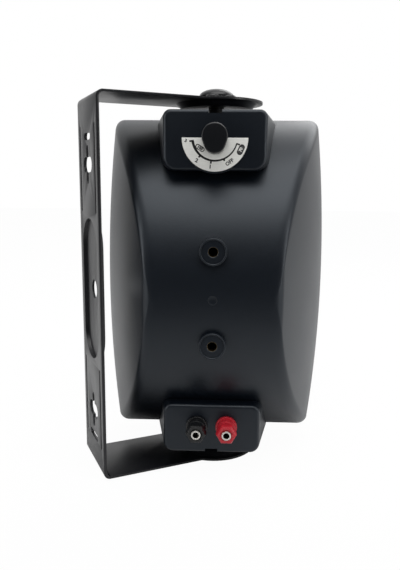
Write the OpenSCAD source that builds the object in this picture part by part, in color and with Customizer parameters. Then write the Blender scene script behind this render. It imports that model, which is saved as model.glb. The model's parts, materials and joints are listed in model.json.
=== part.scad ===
// Two-way wall speaker in a moulded cabinet, swivelling in a folded steel bracket.
// +Z is up, the grille faces -Y and the terminals face +Y.
// The origin is midway between the two threaded inserts in the back, on their mouths.

/* [Cabinet] */
// Height over the flat top and bottom
cab_h = 235; // [225:1:250]
// Width at the rim, halfway up
rim_w = 163.5; // [158:0.5:166]
// How much the rim draws in on each side at the top and bottom
rim_bow = 7.2; // [2:0.2:9]
// Depth from the insert mouths to the rim
rim_depth = 93; // [90:1:98]
// Depth of the straight band between the rim and the barrel back
rim_band = 2; // [1:0.5:9]
// Width of the back between its sides, halfway up
crown_w = 85; // [78:1:92]
// Exponent of the sides' curve in plan
side_power = 1.5; // [1.2:0.1:2.2]
// Radius of the cabinet's four corners, seen from behind
corner_r = 7; // [4:0.5:10]
// Reach of the rounding between the back and the sides
edge_round = 5; // [3:0.5:7]
// Wall thickness of the moulding
wall = 3; // [2.5:0.1:4]

/* [Bosses] */
// Width of each boss at its rear face
boss_w = 65; // [60:1:72]
// Depth of the rear faces behind the insert mouths
boss_depth = 17.7; // [16:0.1:22]
// Height of the upper rear face
boss_h = 37.6; // [35:0.2:42]
// Height of the lower rear face
lower_boss_h = 34; // [32:0.2:38]
// How far the lower boss's underside slants in from the swivel to its rear face
lower_slant = 6.9; // [2:0.1:9]
// Draft of the boss sides in degrees
boss_draft = 9.5; // [4:0.5:12]
// Corner radius nearest the middle of the back
boss_r_in = 8.5; // [5:0.5:10]
// Corner radius at the top or bottom
boss_r_out = 5; // [3:0.5:8]
// Width of the groove in each boss's outer end
groove_w = 8.5; // [6:0.5:12]
// Depth of the groove
groove_d = 2.5; // [1:0.1:3]

/* [Rear inserts] */
// Distance between the two inserts
insert_pitch = 60; // [40:1:70]
// Bore radius of each insert
insert_bore_r = 3; // [2.5:0.1:3.3]
// Outer radius of each insert
insert_r = 4.6; // [4.2:0.1:5.5]
// Length of each insert
insert_l = 12; // [8:0.5:14]
// Radius of the moulded ring round each insert
ring_r = 8.7; // [7.5:0.1:10]
// How far the rings stand out past the insert mouths
ring_lip = 0.8; // [0.4:0.1:1.5]

/* [Baffle and grille] */
// Depth of the baffle moulding from the rim to its front face
baffle_d = 21; // [18:0.5:22]
// How much narrower each side is at the front of the baffle
baffle_inset = 8; // [7:0.5:10]
// Thickness of the baffle plate
baffle_t = 4; // [3:0.5:5]
// Thickness of the foam gasket between rim and baffle
gasket_t = 1; // [0.6:0.1:1.5]
// Forward bow of the grille
grille_bow = 13; // [10:0.5:15]
// Sheet thickness of the grille
grille_t = 1; // [0.8:0.1:1.2]
// Columns of openings in the grille
grille_cols = 9; // [5:1:9]
// Rows of openings in the grille
grille_rows = 13; // [7:1:13]
// Radius of one opening
grille_hole_r = 5.2; // [3:0.1:5.4]

/* [Woofer] */
// Height of its centre
woofer_z = -36; // [-40:1:-34]
// Radius of its frame
woofer_r = 62; // [60:0.5:64]
// Width of the frame that lies on the baffle, round the hole
woofer_land = 8; // [7:0.5:10]
// Depth of the frame from its flange to the magnet
basket_d = 30; // [26:1:34]
// Radius of the magnet
magnet_r = 35; // [30:1:38]
// Thickness of the magnet with its plates
magnet_t = 18; // [14:1:20]
// Radius of the voice coil
coil_r = 12.7; // [11:0.1:14]

/* [Tweeter] */
// Height of its centre
tweeter_z = 68; // [66:1:72]
// Radius of its faceplate
tweeter_r = 32; // [28:0.5:34]
// Radius of its dome
dome_r = 10; // [8:0.5:12]
// Radius of its magnet
tweeter_magnet_r = 20; // [16:0.5:22]

/* [Tap selector] */
// Height of the selector above the origin
dial_z = 99.5; // [98:0.1:101]
// Radius of the half-round dial
dial_r = 20.7; // [18:0.1:22]
// Thickness of the dial
dial_t = 0.8; // [0.5:0.1:1.2]
// Radius of the knob
knob_r = 7.9; // [7:0.1:9]
// Height of the knob
knob_h = 15; // [9:0.5:17]
// Radius of the selector's shaft
shaft_r = 3; // [2.5:0.1:3.2]

/* [Binding posts] */
// Distance between the two posts
post_pitch = 20; // [18:0.5:22]
// Height of the posts, below the origin
post_z = -91; // [-94:0.1:-88]
// How far the posts stand out of the boss
post_out = 15.5; // [13:0.5:20]
// Width of the hexagon cap over its flats
post_flats = 12.4; // [11:0.1:13.5]
// Radius of the cap's round skirt
post_skirt_r = 7; // [6.4:0.1:7.6]
// Outer radius of the metal tube
tube_r = 3.1; // [2.9:0.05:3.4]
// Bore radius of the metal tube
socket_r = 2.05; // [2:0.05:2.2]

/* [Bracket] */
// Distance from the swivel axis to the outside of the back plate
reach = 92.9; // [92.5:0.1:110]
// Swivel of the bracket from the cabinet's side, as stored
swing = 26.2; // [20:0.1:32]
// Depth of the swivel axis behind the insert mouths
pivot_depth = 71.7; // [69:0.1:74]
// Width of the strap
strap_w = 51; // [48:1:58]
// Sheet thickness
sheet = 1.5; // [1.2:0.1:2]
// Outside bend radius
bend_r = 4.5; // [3:0.1:6]
// Radius of the round ends of the arms
paddle_r = 32.5; // [31.5:0.1:35]
// Radius of the pressed dish in each end, at its rim
dish_r = 28.7; // [26:0.1:30]
// Depth of the pressed dish
dish_d = 3.4; // [2:0.1:4]
// Width of the pressed slope round the dish
dish_slope = 4; // [3:0.1:6]
// Depth of the pressed panel in the back plate
panel_d = 2.6; // [1:0.1:3]
// Width of the pressed panel
panel_w = 38; // [30:1:40]
// Height of the pressed panel
panel_h = 96; // [80:1:100]
// Radius of the central hole
wall_hole_r = 6.5; // [5:0.1:8]

/* [Swivel hardware] */
// Radius of the swivel screws
pivot_screw_r = 4; // [3.5:0.1:4.2]
// Radius of the spacers under the dishes
spacer_r = 5.4; // [5.2:0.1:8]
// Length of the spacers
spacer_h = 5.6; // [3:0.2:9]
// Radius of the clamp knob's lobes
clamp_r = 15; // [13:0.5:18]
// Height of the clamp knob's head
clamp_h = 8.5; // [7:0.5:12]
// Radius of the lower screw's head
bolt_head_r = 7; // [6:0.1:8]

/* [Hidden] */
$fn = 64;
// Sliding gap between pieces that turn against each other
run_gap = 0.1;
// Radial clearance of a shaft in its hole
fit_gap = 0.05;
// Clearance of a loose fastener in its hole
loose_gap = 0.4;
// Small overlap that makes cuts clean
eps = 0.5;

half_h = cab_h / 2;
rim_half = rim_w / 2;
crown_half = crown_w / 2;
rim_y = -rim_depth;
crown_y = -0.8;
// Radius of the barrel back, from its depth between the band and the crown
barrel_d = crown_y - rim_y - rim_band;
barrel_r = (half_h * half_h + barrel_d * barrel_d) / (2 * barrel_d);
boss_y = -boss_depth;
boss_top = half_h - 0.6;
boss_low = boss_top - boss_h;
// Outer and inner end of the lower boss's rear face, below the origin
lower_end = boss_top - lower_slant;
lower_low = lower_end - lower_boss_h;
pivot_y = -pivot_depth;
dish_z = boss_top + run_gap + spacer_h;
// Outer face of each arm, and the height over both
arm_z = dish_z + dish_d + sheet;
bracket_h = 2 * arm_z;
// Underside of the clamp knob's head
clamp_z = arm_z + 0.6;
baffle_back = rim_y - gasket_t;
baffle_front = baffle_back - baffle_d;
baffle_half_w = rim_half - baffle_inset;
baffle_half_h = half_h - baffle_inset;
skirt = 2.5;
// The baffle plate's front face, set back from the edge that holds the grille
plate_y = baffle_front + 4;
// Steps round one corner and along one bowed side of a section
corner_n = 4;
side_n = 8;
// Sections along the outside and the inside of the barrel back
barrel_steps = 14;
inner_steps = 8;

// How far the rim has drawn in at height z
function bow(z) = rim_bow * pow(z / half_h, 2);

// One section across the cabinet: a rectangle with bowed sides and round corners
function ring(w, h, r, y, n) =
    let (c = h - r, x = w - bow(c) - r)
    concat(
        [for (i = [1 : side_n - 1]) let (z = c * (2 * i / side_n - 1)) [w - bow(z), y, z]],
        [for (i = [0 : n]) [x + r * cos(90 * i / n), y, c + r * sin(90 * i / n)]],
        [for (i = [0 : n]) [-x - r * sin(90 * i / n), y, c + r * cos(90 * i / n)]],
        [for (i = [1 : side_n - 1]) let (z = c * (1 - 2 * i / side_n)) [bow(z) - w, y, z]],
        [for (i = [0 : n]) [-x - r * cos(90 * i / n), y, -c - r * sin(90 * i / n)]],
        [for (i = [0 : n]) [x + r * sin(90 * i / n), y, -c - r * cos(90 * i / n)]]
    );

// A closed skin over sections that all have the same number of points
module loft(rings) {
    m = len(rings[0]);
    n = len(rings);
    polyhedron(
        points = [for (r = rings) for (p = r) p],
        faces = concat(
            [[for (j = [0 : m - 1]) m - 1 - j]],
            [[for (j = [0 : m - 1]) (n - 1) * m + j]],
            [for (i = [0 : n - 2]) for (j = [0 : m - 1])
                [i * m + j, i * m + (j + 1) % m, (i + 1) * m + (j + 1) % m]],
            [for (i = [0 : n - 2]) for (j = [0 : m - 1])
                [i * m + j, (i + 1) * m + (j + 1) % m, (i + 1) * m + j]]
        ),
        convexity = 4
    );
}

// Half-width at depth y: a power curve from the rim to the crown, rounded into the back
function side_half(y) =
    let (t = max(0, min(1, (y - rim_y) / (crown_y - rim_y))),
         d = 0.7 * edge_round,
         u = max(0, min(1, 1 - (crown_y - y) / d)))
    rim_half - (rim_half - crown_half) * pow(t, side_power)
        - edge_round * (1 - sqrt(max(0, 1 - u * u)));

// Sections of the cabinet, each set in by the same wall; the back follows a circle
function cabinet_rings(inset, steps, n) =
    let (r0 = barrel_r - inset, full = half_h - inset, top = asin(full / r0), r = max(2, corner_r - inset))
    concat(
        [ring(rim_half - inset, full, r, rim_y - (inset > 0 ? eps : 0), n)],
        [for (a = concat([for (i = [0 : steps - 1]) top * (1 - i / steps)], [1.5]))
            let (h = r0 * sin(a), y = crown_y - barrel_r + r0 * cos(a))
            ring(side_half(y + inset * cos(a)) - 1.1 * inset, h, min(r, 0.75 * h), y, n)]
    );

// A rounded rectangle in the XZ plane, with its own radii above and below
function boss_outline(w, z0, z1, r0, r1, y) =
    let (n = corner_n)
    concat(
        [for (i = [0 : n]) [w - r1 + r1 * cos(90 * i / n), y, z1 - r1 + r1 * sin(90 * i / n)]],
        [for (i = [0 : n]) [r1 - w - r1 * sin(90 * i / n), y, z1 - r1 + r1 * cos(90 * i / n)]],
        [for (i = [0 : n]) [r0 - w - r0 * cos(90 * i / n), y, z0 + r0 - r0 * sin(90 * i / n)]],
        [for (i = [0 : n]) [w - r0 + r0 * sin(90 * i / n), y, z0 + r0 - r0 * cos(90 * i / n)]]
    );

// A boss on the upper side: a drafted block with rounded edges round its rear face, which
// runs from z = low to z = end; its outer side slants from the swivel in to the face
module boss(low, end) {
    spread = tan(boss_draft);
    soft = 1.5;
    loft([for (s = [[rim_y + rim_band + 1, 0], [pivot_y, 0], [boss_y - soft, 0],
                    [boss_y - 0.4 * soft, 0.25], [boss_y, 1]])
        let (slant = (boss_top - end) * min(1, (boss_y - s[0]) / (boss_y - pivot_y)))
        boss_outline(boss_w / 2 + (boss_y - s[0]) * spread - s[1] * soft,
            low + s[1] * soft, end + slant - s[1] * soft,
            boss_r_in - s[1] * soft, boss_r_out - s[1] * soft, s[0])]);
}

// The space inside a boss, as far as its end walls
module boss_hollow(low, end) {
    side = boss_w / 2 - wall - 3;
    front = pivot_y + 16;
    skin = max(wall, groove_d + 1.2);
    translate([-side, front, low + wall]) cube([2 * side, boss_wall_y - front, end - skin - low - wall]);
}

// A cylinder along +Y from y0 to y1
module rod(r, y0, y1, x = 0, z = 0) {
    translate([x, y0, z]) rotate([-90, 0, 0]) cylinder(r = r, h = y1 - y0);
}

// A turned piece along +Y: the profile gives radius and distance
module turned(profile) {
    rotate([-90, 0, 0]) rotate_extrude() polygon(profile);
}

// A slot with round ends, long in Y, cut through the thickness
module slot2d(l, w) {
    square([l - w, w], center = true);
    translate([(l - w) / 2, 0]) circle(d = w);
    translate([-(l - w) / 2, 0]) circle(d = w);
}

// Places of the six case screws, as [x, z]
screw_z = 0.87 * half_h;
screw_places = [for (sx = [-1, 1]) for (z = [-screw_z, 0, screw_z])
    [sx * (baffle_half_w - bow(z) - skirt - 5.6), z]];
// Radius of a case screw, of its head and of the pillars that take it
case_screw_r = 1.6;
case_head_r = 3.2;
pillar_r = 4.5;
// Inner pillars that carry the crossover board and the transformer
stand_y = -24;
board_z = -45;
board_w = 60;
board_h = 34;
board_t = 1.6;
// Parts on the board: the choke with its bore, and the capacitor
choke_r = 9.5;
choke_bore_r = 4;
choke_l = 12;
choke_x = -11;
capacitor_r = 6;
capacitor_l = 16;
board_places = [for (x = [-24, 24]) for (z = [board_z - 12, board_z + 12]) [x, z]];
small_screw_r = 1.2;
trafo_z = 48;
trafo_foot_x = 30;
trafo_places = [[-trafo_foot_x, trafo_z], [trafo_foot_x, trafo_z]];
// Core of the line transformer: width, height, stack and leg
core_w = 40;
core_h = 34;
core_t = 16;
leg_w = 13;
window_w = 7;
winding_t = 26;
// Height of the yoke above and below the windows, and size of the feet
yoke_h = 7;
foot_w = 12;
foot_l = 15;
core_y = stand_y - winding_t / 2 - 0.5;
// Inner face of a boss's rear wall
boss_wall_y = boss_y - wall;
// Bushing of the tap selector, its nut and its body
bushing_r = 4.5;
nut_t = 2;
switch_r = 11.5;
switch_d = 12;
dial_front = boss_y + dial_t;
knob_base = dial_front + 0.3;
// Binding posts: insulating base, cap and metal tube
post_base_t = 2.5;
post_end = boss_y + post_out;
cap_end = post_end - 0.8;
cap_base = boss_y + post_base_t + run_gap;
skirt_end = cap_base + 5;
socket_l = 17;
post_tail = 12;
post_nut_flats = 9;
post_nut_t = 3;
post_places = [-post_pitch / 2, post_pitch / 2];
// Driver distances are measured back from the front of the baffle plate
flange_t = 2;
roll_r = 3.5;
woofer_hole_r = woofer_r - woofer_land;
// Middle of the surround's roll, inside the land that the screws need
screw_land = 12.5;
roll_mid = woofer_r - screw_land;
cone_r = roll_mid - roll_r;
cone_t = 0.8;
cone_neck = 22;
// Distance of the cone's front face at radius r
function cone_front(r) = -flange_t + (cone_r - 3.4 - r) / (cone_r - 3.4 - coil_r) * (cone_neck - 0.4 + flange_t);
rubber_t = 0.6;
coil_t = 0.5;
coil_top = 18;
coil_len = 18;
gap_w = 0.6;
plate_t = 4;
surround_r = roll_mid + roll_r + 2;
woofer_screw_ring = (woofer_r + surround_r) / 2;
spider_d = 25;
spider_t = 0.5;
spider_r = 29.5;
tweeter_screw_ring = tweeter_r - 4;
tweeter_magnet_t = 15;
diagonals = [45, 135, 225, 315];

// Clips internal pillars to the inside of the moulding
module inside_shell() {
    intersection() {
        loft(cabinet_rings(wall / 2, inner_steps, corner_n));
        union() children();
    }
}

module rear_cabinet() {
    color([0.11, 0.12, 0.13]) difference() {
        union() {
            difference() {
                union() {
                    loft(cabinet_rings(0, barrel_steps, corner_n));
                    boss(boss_low, boss_top);
                    mirror([0, 0, 1]) boss(lower_low, lower_end);
                    intersection() {
                        rod(dial_r + 1.2, boss_y - 14, boss_y, 0, dial_z);
                        translate([0, boss_y, boss_low]) cube([60, 40, 30], center = true);
                    }
                }
                loft(cabinet_rings(wall, inner_steps, corner_n));
                boss_hollow(boss_low, boss_top);
                mirror([0, 0, 1]) boss_hollow(lower_low, lower_end);
            }
            for (s = [-1, 1]) {
                rod(ring_r, -insert_l - wall, ring_lip, 0, s * insert_pitch / 2);
                translate([0, pivot_y, s > 0 ? boss_top - insert_l - wall : -boss_top])
                    cylinder(r = ring_r, h = insert_l + wall);
            }
            inside_shell() {
                for (p = screw_places) {
                    rod(pillar_r, rim_y, rim_y + 28, p[0], p[1]);
                    translate([p[0] > 0 ? p[0] : p[0] - 20, rim_y, p[1] - 1.2]) cube([20, 28, 2.4]);
                }
                for (p = board_places) rod(3, stand_y, 0, p[0], p[1]);
                for (p = trafo_places) rod(4, stand_y, 0, p[0], p[1]);
            }
        }
        for (s = [-1, 1]) {
            rod(insert_r, -insert_l, 0, 0, s * insert_pitch / 2);
            rod(insert_bore_r + 0.5, -eps, ring_lip + eps, 0, s * insert_pitch / 2);
            translate([0, pivot_y, s > 0 ? boss_top - insert_l : -boss_top - eps])
                cylinder(r = insert_r + 1, h = insert_l + eps);
            mirror([0, 0, s > 0 ? 0 : 1])
                translate([-groove_w / 2, pivot_y + 24, (s > 0 ? boss_top : lower_end) - groove_d])
                    cube([groove_w, pivot_depth, boss_top]);
        }
        for (x = post_places) rod(tube_r + fit_gap, boss_wall_y - eps, boss_y + eps, x, post_z);
        rod(bushing_r + fit_gap, boss_wall_y - eps, boss_y + eps, 0, dial_z);
        rod(3, crown_y - 0.6, crown_y + eps, 0, -0.5);
        for (p = screw_places) rod(case_screw_r + fit_gap, rim_y - eps, rim_y + 20, p[0], p[1]);
        for (p = board_places) rod(small_screw_r + fit_gap, stand_y - eps, stand_y + 7, p[0], p[1]);
        for (p = trafo_places) rod(case_screw_r + fit_gap, stand_y - eps, stand_y + 8, p[0], p[1]);
    }
}

// How far the baffle's side has come in at t, from 0 at the rim to 1 at the front
function baffle_in(t) = baffle_inset * (1 - sqrt(1 - 0.9 * t * t)) / (1 - sqrt(0.1));

module front_baffle() {
    steps = 5;
    color([0.09, 0.1, 0.11]) difference() {
        union() {
            difference() {
                loft([for (i = [steps : -1 : 0])
                    ring(rim_half - baffle_in(i / steps), half_h - baffle_in(i / steps), corner_r,
                         baffle_back - baffle_d * i / steps, corner_n)]);
                for (s = [[baffle_front - eps, plate_y], [plate_y + baffle_t, baffle_back + eps]])
                    loft([for (y = s) ring(baffle_half_w - skirt, baffle_half_h - skirt,
                                           corner_r - 2, y, 2)]);
            }
            for (p = screw_places) rod(pillar_r, plate_y, baffle_back, p[0], p[1]);
        }
        rod(woofer_hole_r, plate_y - eps, plate_y + baffle_t + eps, 0, woofer_z);
        rod(tweeter_magnet_r + loose_gap, plate_y - eps, plate_y + baffle_t + eps, 0, tweeter_z);
        for (p = screw_places) rod(case_screw_r + loose_gap, plate_y - eps, baffle_back + eps, p[0], p[1]);
        for (a = diagonals) {
            rod(case_screw_r + fit_gap, plate_y - eps, plate_y + baffle_t + eps,
                woofer_screw_ring * cos(a), woofer_z + woofer_screw_ring * sin(a));
            rod(small_screw_r + fit_gap, plate_y - eps, plate_y + baffle_t + eps,
                tweeter_screw_ring * cos(a), tweeter_z + tweeter_screw_ring * sin(a));
        }
    }
}

module baffle_gasket() {
    color([0.05, 0.05, 0.05]) difference() {
        loft([for (y = [baffle_back, rim_y]) ring(rim_half - 0.6, half_h - 0.6, corner_r, y, 2)]);
        loft([for (y = [baffle_back - eps, rim_y + eps])
            ring(rim_half - wall, half_h - wall, corner_r - 2, y, 2)]);
    }
}

// The grille's face is part of a tall cylinder, closed at the ends by flat returns
module grille() {
    half_w = baffle_half_w - skirt - 0.3;
    half_z = baffle_half_h - skirt - 0.3;
    radius = (half_w * half_w + grille_bow * grille_bow) / (2 * grille_bow);
    centre_y = baffle_front - grille_bow + radius;
    pitch_x = 2 * (half_w - 4) / grille_cols;
    pitch_z = 2 * (half_z - 4) / grille_rows;
    color([0.07, 0.07, 0.08]) difference() {
        intersection() {
            loft([for (y = [baffle_front - grille_bow - 1, plate_y])
                ring(half_w, half_z, corner_r - 2, y, 3)]);
            translate([0, centre_y, -half_h]) cylinder(r = radius, h = cab_h, $fn = 200);
        }
        intersection() {
            loft([for (y = [baffle_front - grille_bow - 2, plate_y + eps])
                ring(half_w - grille_t, half_z - grille_t, corner_r - 3, y, 3)]);
            translate([0, centre_y, -half_h]) cylinder(r = radius - grille_t, h = cab_h, $fn = 200);
        }
        for (i = [0 : grille_cols - 1]) for (j = [0 : grille_rows - 1])
            let (x = (i - (grille_cols - 1) / 2) * pitch_x, z = (j - (grille_rows - 1) / 2) * pitch_z)
            if (abs(x) + grille_hole_r + 2 < half_w - bow(z))
                rod(grille_hole_r, baffle_front - grille_bow - 2, baffle_front - 1, x, z);
    }
}

// A pan-head screw driven along +Y, its head's underside at y
module pan_screw(r, head_r, head_h, l, x, y, z) {
    rod(r, y, y + l, x, z);
    translate([x, y, z]) rotate([-90, 0, 0]) rotate_extrude() polygon(concat(
        [[0, 0], [head_r, 0]],
        [for (a = [15 : 15 : 90]) [head_r * cos(a), -head_h * sin(a)]]));
}

module case_screws() {
    color([0.3, 0.3, 0.32]) for (p = screw_places)
        pan_screw(case_screw_r, case_head_r, 2, rim_y - plate_y + 18, p[0], plate_y, p[1]);
}

module rear_insert(s) {
    color([0.72, 0.6, 0.3]) difference() {
        rod(insert_r, -insert_l, 0, 0, s * insert_pitch / 2);
        rod(insert_bore_r, -insert_l - eps, eps, 0, s * insert_pitch / 2);
    }
}
module rear_insert_upper() { rear_insert(1); }
module rear_insert_lower() { rear_insert(-1); }

module pivot_insert(s) {
    color([0.72, 0.6, 0.3])
        translate([0, pivot_y, s > 0 ? boss_top - insert_l : -boss_top]) difference() {
            cylinder(r = insert_r + 1, h = insert_l);
            translate([0, 0, -eps]) cylinder(r = pivot_screw_r + fit_gap, h = insert_l + 2 * eps);
        }
}
module pivot_insert_top() { pivot_insert(1); }
module pivot_insert_bottom() { pivot_insert(-1); }

// Folded strap seen from its edge: a U with round bends, open towards the swivel axis
module strap_profile(inset) {
    r = bend_r - inset;
    translate([0, inset - arm_z]) square([reach - inset - r, bracket_h - 2 * inset]);
    translate([0, inset - arm_z + r]) square([reach - inset, bracket_h - 2 * (inset + r)]);
    for (s = [-1, 1]) translate([reach - inset - r, s * (arm_z - inset - r)]) circle(r = r);
}

// Shapes in the plane of the back plate: x runs across the strap, y up
module upright_slot(z, w, h) {
    translate([0, z]) rotate(90) slot2d(h, w);
}

module plate_cut(depth0, depth1) {
    translate([reach - depth0, 0, 0]) rotate([90, 0, 90])
        linear_extrude(depth0 - depth1) children();
}

// Heights of the two cross-shaped holes, and height and length of the tie slots beyond them
cross_z = [83, -86];
tie_slots = [[cross_z[0] + 18, 16], [cross_z[1] - 19, 20]];

module bracket() {
    rib_x = 19.5;
    rib_l = 60;
    rib_z = (panel_h + rib_l) / 2 + 2;
    ribs = [[-1, rib_z], [1, rib_z], [-1, -rib_z], [1, -rib_z]];
    translate([0, pivot_y, 0]) rotate(swing) color([0.1, 0.1, 0.11]) difference() {
        union() {
            difference() {
                rotate([90, 0, 0]) linear_extrude(strap_w, center = true) difference() {
                    strap_profile(0);
                    translate([-eps, 0]) strap_profile(sheet);
                    translate([-2 * eps, sheet - arm_z]) square([2 * eps + 1, bracket_h - 2 * sheet]);
                }
                for (s = [-1, 1]) translate([0, 0, s * (arm_z - sheet / 2)])
                    cube([2 * dish_r - 2, strap_w + eps, sheet + eps], center = true);
            }
            for (m = [0, 1]) mirror([0, 0, m]) {
                translate([0, 0, arm_z - sheet]) difference() {
                    union() {
                        cylinder(r = paddle_r, h = sheet);
                        translate([0, -strap_w / 2, 0]) cube([paddle_r + 8, strap_w, sheet]);
                    }
                    translate([0, 0, -eps]) cylinder(r = dish_r - 0.5, h = sheet + 2 * eps);
                }
                rotate_extrude() polygon([
                    [0, dish_z], [dish_r - dish_slope, dish_z], [dish_r, arm_z - sheet],
                    [dish_r + 0.5, arm_z - sheet], [dish_r + 0.5, arm_z], [dish_r - 0.4, arm_z],
                    [dish_r - dish_slope - 0.4, dish_z + sheet], [0, dish_z + sheet]]);
            }
            plate_cut(panel_d + sheet, 0) upright_slot(0, panel_w + 2 * sheet, panel_h + 2 * sheet);
            for (r = ribs) plate_cut(1.2 + sheet, 0)
                translate([r[0] * rib_x, 0]) upright_slot(r[1], 5, rib_l);
        }
        plate_cut(panel_d, -eps) upright_slot(0, panel_w, panel_h);
        for (r = ribs) plate_cut(1.2, -eps) translate([r[0] * rib_x, 0]) upright_slot(r[1], 2.4, rib_l - 3);
        plate_cut(panel_d + 2 * sheet, -eps) circle(r = wall_hole_r);
        for (z = cross_z) plate_cut(2 * sheet, -eps) {
            upright_slot(z, 5, 25);
            translate([0, z]) slot2d(22, 10);
        }
        for (t = tie_slots) plate_cut(2 * sheet, -eps) translate([0, t[0]]) slot2d(t[1], 4.6);
        translate([0, 0, -arm_z - eps]) cylinder(r = pivot_screw_r + loose_gap, h = bracket_h + 2 * eps);
    }
}

// Hub in the dish, lobed head above the arm and a low dome on top
module clamp_knob() {
    hub_z = dish_z + sheet + run_gap;
    lobe_r = 4.6;
    body_r = clamp_r - lobe_r;
    color([0.08, 0.08, 0.09]) translate([0, pivot_y, 0]) difference() {
        union() {
            translate([0, 0, hub_z]) cylinder(r = 8.5, h = clamp_z - hub_z + 1);
            translate([0, 0, clamp_z]) cylinder(r = body_r + 1.4, h = clamp_h - 2);
            for (i = [0 : 4]) rotate(36 + 72 * i) translate([body_r, 0, clamp_z])
                cylinder(r = lobe_r, h = clamp_h - 2.5);
            translate([0, 0, clamp_z + clamp_h - 2]) rotate_extrude() polygon(concat(
                [[0, 0], [body_r, 0]],
                [for (a = [18 : 18 : 90]) [body_r * cos(a), 2 * sin(a)]]));
        }
        translate([0, 0, hub_z - eps]) cylinder(r = pivot_screw_r, h = clamp_z + 4 - hub_z + eps);
    }
}

module clamp_screw() {
    color([0.6, 0.6, 0.62]) translate([0, pivot_y, boss_top - insert_l])
        cylinder(r = pivot_screw_r, h = clamp_z + 4 - boss_top + insert_l);
}

module spacer(s) {
    color([0.06, 0.06, 0.07]) translate([0, pivot_y, s > 0 ? boss_top : -boss_top - spacer_h])
        difference() {
            cylinder(r = spacer_r, h = spacer_h);
            translate([0, 0, -eps]) cylinder(r = pivot_screw_r + fit_gap, h = spacer_h + 2 * eps);
        }
}
module top_spacer() { spacer(1); }
module bottom_spacer() { spacer(-1); }

washer_t = 1;
washer_z = dish_z + sheet + run_gap;
module bottom_washer() {
    color([0.5, 0.5, 0.52]) translate([0, pivot_y, -washer_z - washer_t]) difference() {
        cylinder(r = bolt_head_r + 1.2, h = washer_t);
        translate([0, 0, -eps]) cylinder(r = pivot_screw_r + fit_gap, h = washer_t + 2 * eps);
    }
}

module bottom_bolt() {
    head_z = washer_z + washer_t;
    color([0.12, 0.12, 0.13]) translate([0, pivot_y, 0]) difference() {
        union() {
            translate([0, 0, -head_z]) cylinder(r = pivot_screw_r, h = head_z - boss_top + insert_l);
            translate([0, 0, -head_z]) rotate_extrude() polygon(concat(
                [[0, 0], [bolt_head_r, 0], [bolt_head_r, -1]],
                [for (a = [15 : 15 : 90]) [bolt_head_r * cos(a), -1 - 3 * sin(a)]]));
        }
        translate([0, 0, -head_z - 4 - eps]) cylinder(r = 2.9, h = 2.5 + eps, $fn = 6);
    }
}

module dial_plate() {
    color([0.85, 0.85, 0.83]) difference() {
        rod(dial_r, boss_y, dial_front, 0, dial_z);
        translate([-dial_r - 1, boss_y - eps, dial_z]) cube([2 * dial_r + 2, dial_t + 2 * eps, dial_r + 1]);
        rod(bushing_r + fit_gap, boss_y - eps, dial_front + eps, 0, dial_z);
    }
}

module tap_knob() {
    soft = 0.8;
    end = knob_base + knob_h;
    color([0.05, 0.05, 0.06]) difference() {
        translate([0, 0, dial_z]) turned(concat(
            [[0, knob_base], [knob_r, knob_base]],
            [for (a = [0 : 22.5 : 90]) [knob_r - soft * (1 - cos(a)), end - soft * (1 - sin(a))]],
            [[0, end]]));
        rod(bushing_r + 2.6, knob_base - eps, knob_base + nut_t + 1, 0, dial_z);
        rod(shaft_r, knob_base, end - 2, 0, dial_z);
    }
}

module tap_shaft() {
    color([0.7, 0.7, 0.72]) rod(shaft_r, boss_wall_y - switch_d + 2, knob_base + knob_h - 2, 0, dial_z);
}

module tap_switch() {
    color([0.2, 0.2, 0.22]) difference() {
        union() {
            rod(switch_r, boss_wall_y - switch_d, boss_wall_y, 0, dial_z);
            rod(bushing_r, boss_wall_y - eps, dial_front + nut_t, 0, dial_z);
        }
        rod(shaft_r + fit_gap, boss_wall_y - switch_d + 2, dial_front + nut_t + eps, 0, dial_z);
    }
}

// A hexagon nut along +Y over its flats
module nut(flats, t, bore, y, x, z) {
    difference() {
        translate([x, y, z]) rotate([-90, 0, 0]) cylinder(r = flats / sqrt(3), h = t, $fn = 6);
        rod(bore, y - eps, y + t + eps, x, z);
    }
}

module switch_nut() {
    color([0.75, 0.75, 0.76]) nut(11.5, nut_t, bushing_r + 0.02, dial_front, 0, dial_z);
}

module post_base(x) {
    difference() {
        rod(post_skirt_r + 0.3, boss_y, boss_y + post_base_t, x, post_z);
        rod(tube_r + fit_gap, boss_y - eps, boss_y + post_base_t + eps, x, post_z);
    }
}
module black_post_base() { color([0.06, 0.06, 0.06]) post_base(post_places[1]); }
module red_post_base() { color([0.6, 0.1, 0.13]) post_base(post_places[0]); }

// Round skirt with a hexagon grip in front of it, bored for the tube
module post_cap(x) {
    difference() {
        union() {
            translate([x, 0, post_z]) turned([[0, cap_base], [post_skirt_r - 0.5, cap_base],
                [post_skirt_r, cap_base + 1], [post_skirt_r, skirt_end - 0.8],
                [post_skirt_r - 0.8, skirt_end], [0, skirt_end]]);
            translate([x, skirt_end - 1, post_z]) rotate([-90, 30, 0])
                cylinder(r = post_flats / sqrt(3), h = cap_end - skirt_end + 1, $fn = 6);
        }
        rod(tube_r + fit_gap, cap_base - eps, cap_end + eps, x, post_z);
    }
}
module black_post_cap() { color([0.06, 0.06, 0.06]) post_cap(post_places[1]); }
module red_post_cap() { color([0.6, 0.1, 0.13]) post_cap(post_places[0]); }

module post_tubes() {
    color([0.75, 0.75, 0.74]) for (x = post_places) difference() {
        rod(tube_r, boss_wall_y - post_tail, post_end, x, post_z);
        rod(socket_r, post_end - socket_l, post_end + eps, x, post_z);
    }
}

module post_nuts() {
    color([0.7, 0.7, 0.7]) for (x = post_places)
        nut(post_nut_flats, post_nut_t, tube_r + 0.02, boss_wall_y - post_nut_t, x, post_z);
}

// A turned driver piece: the profile gives radius and distance back from the plate's front
module driver(z) {
    translate([0, plate_y, z]) rotate([-90, 0, 0]) rotate_extrude() children();
}

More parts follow.
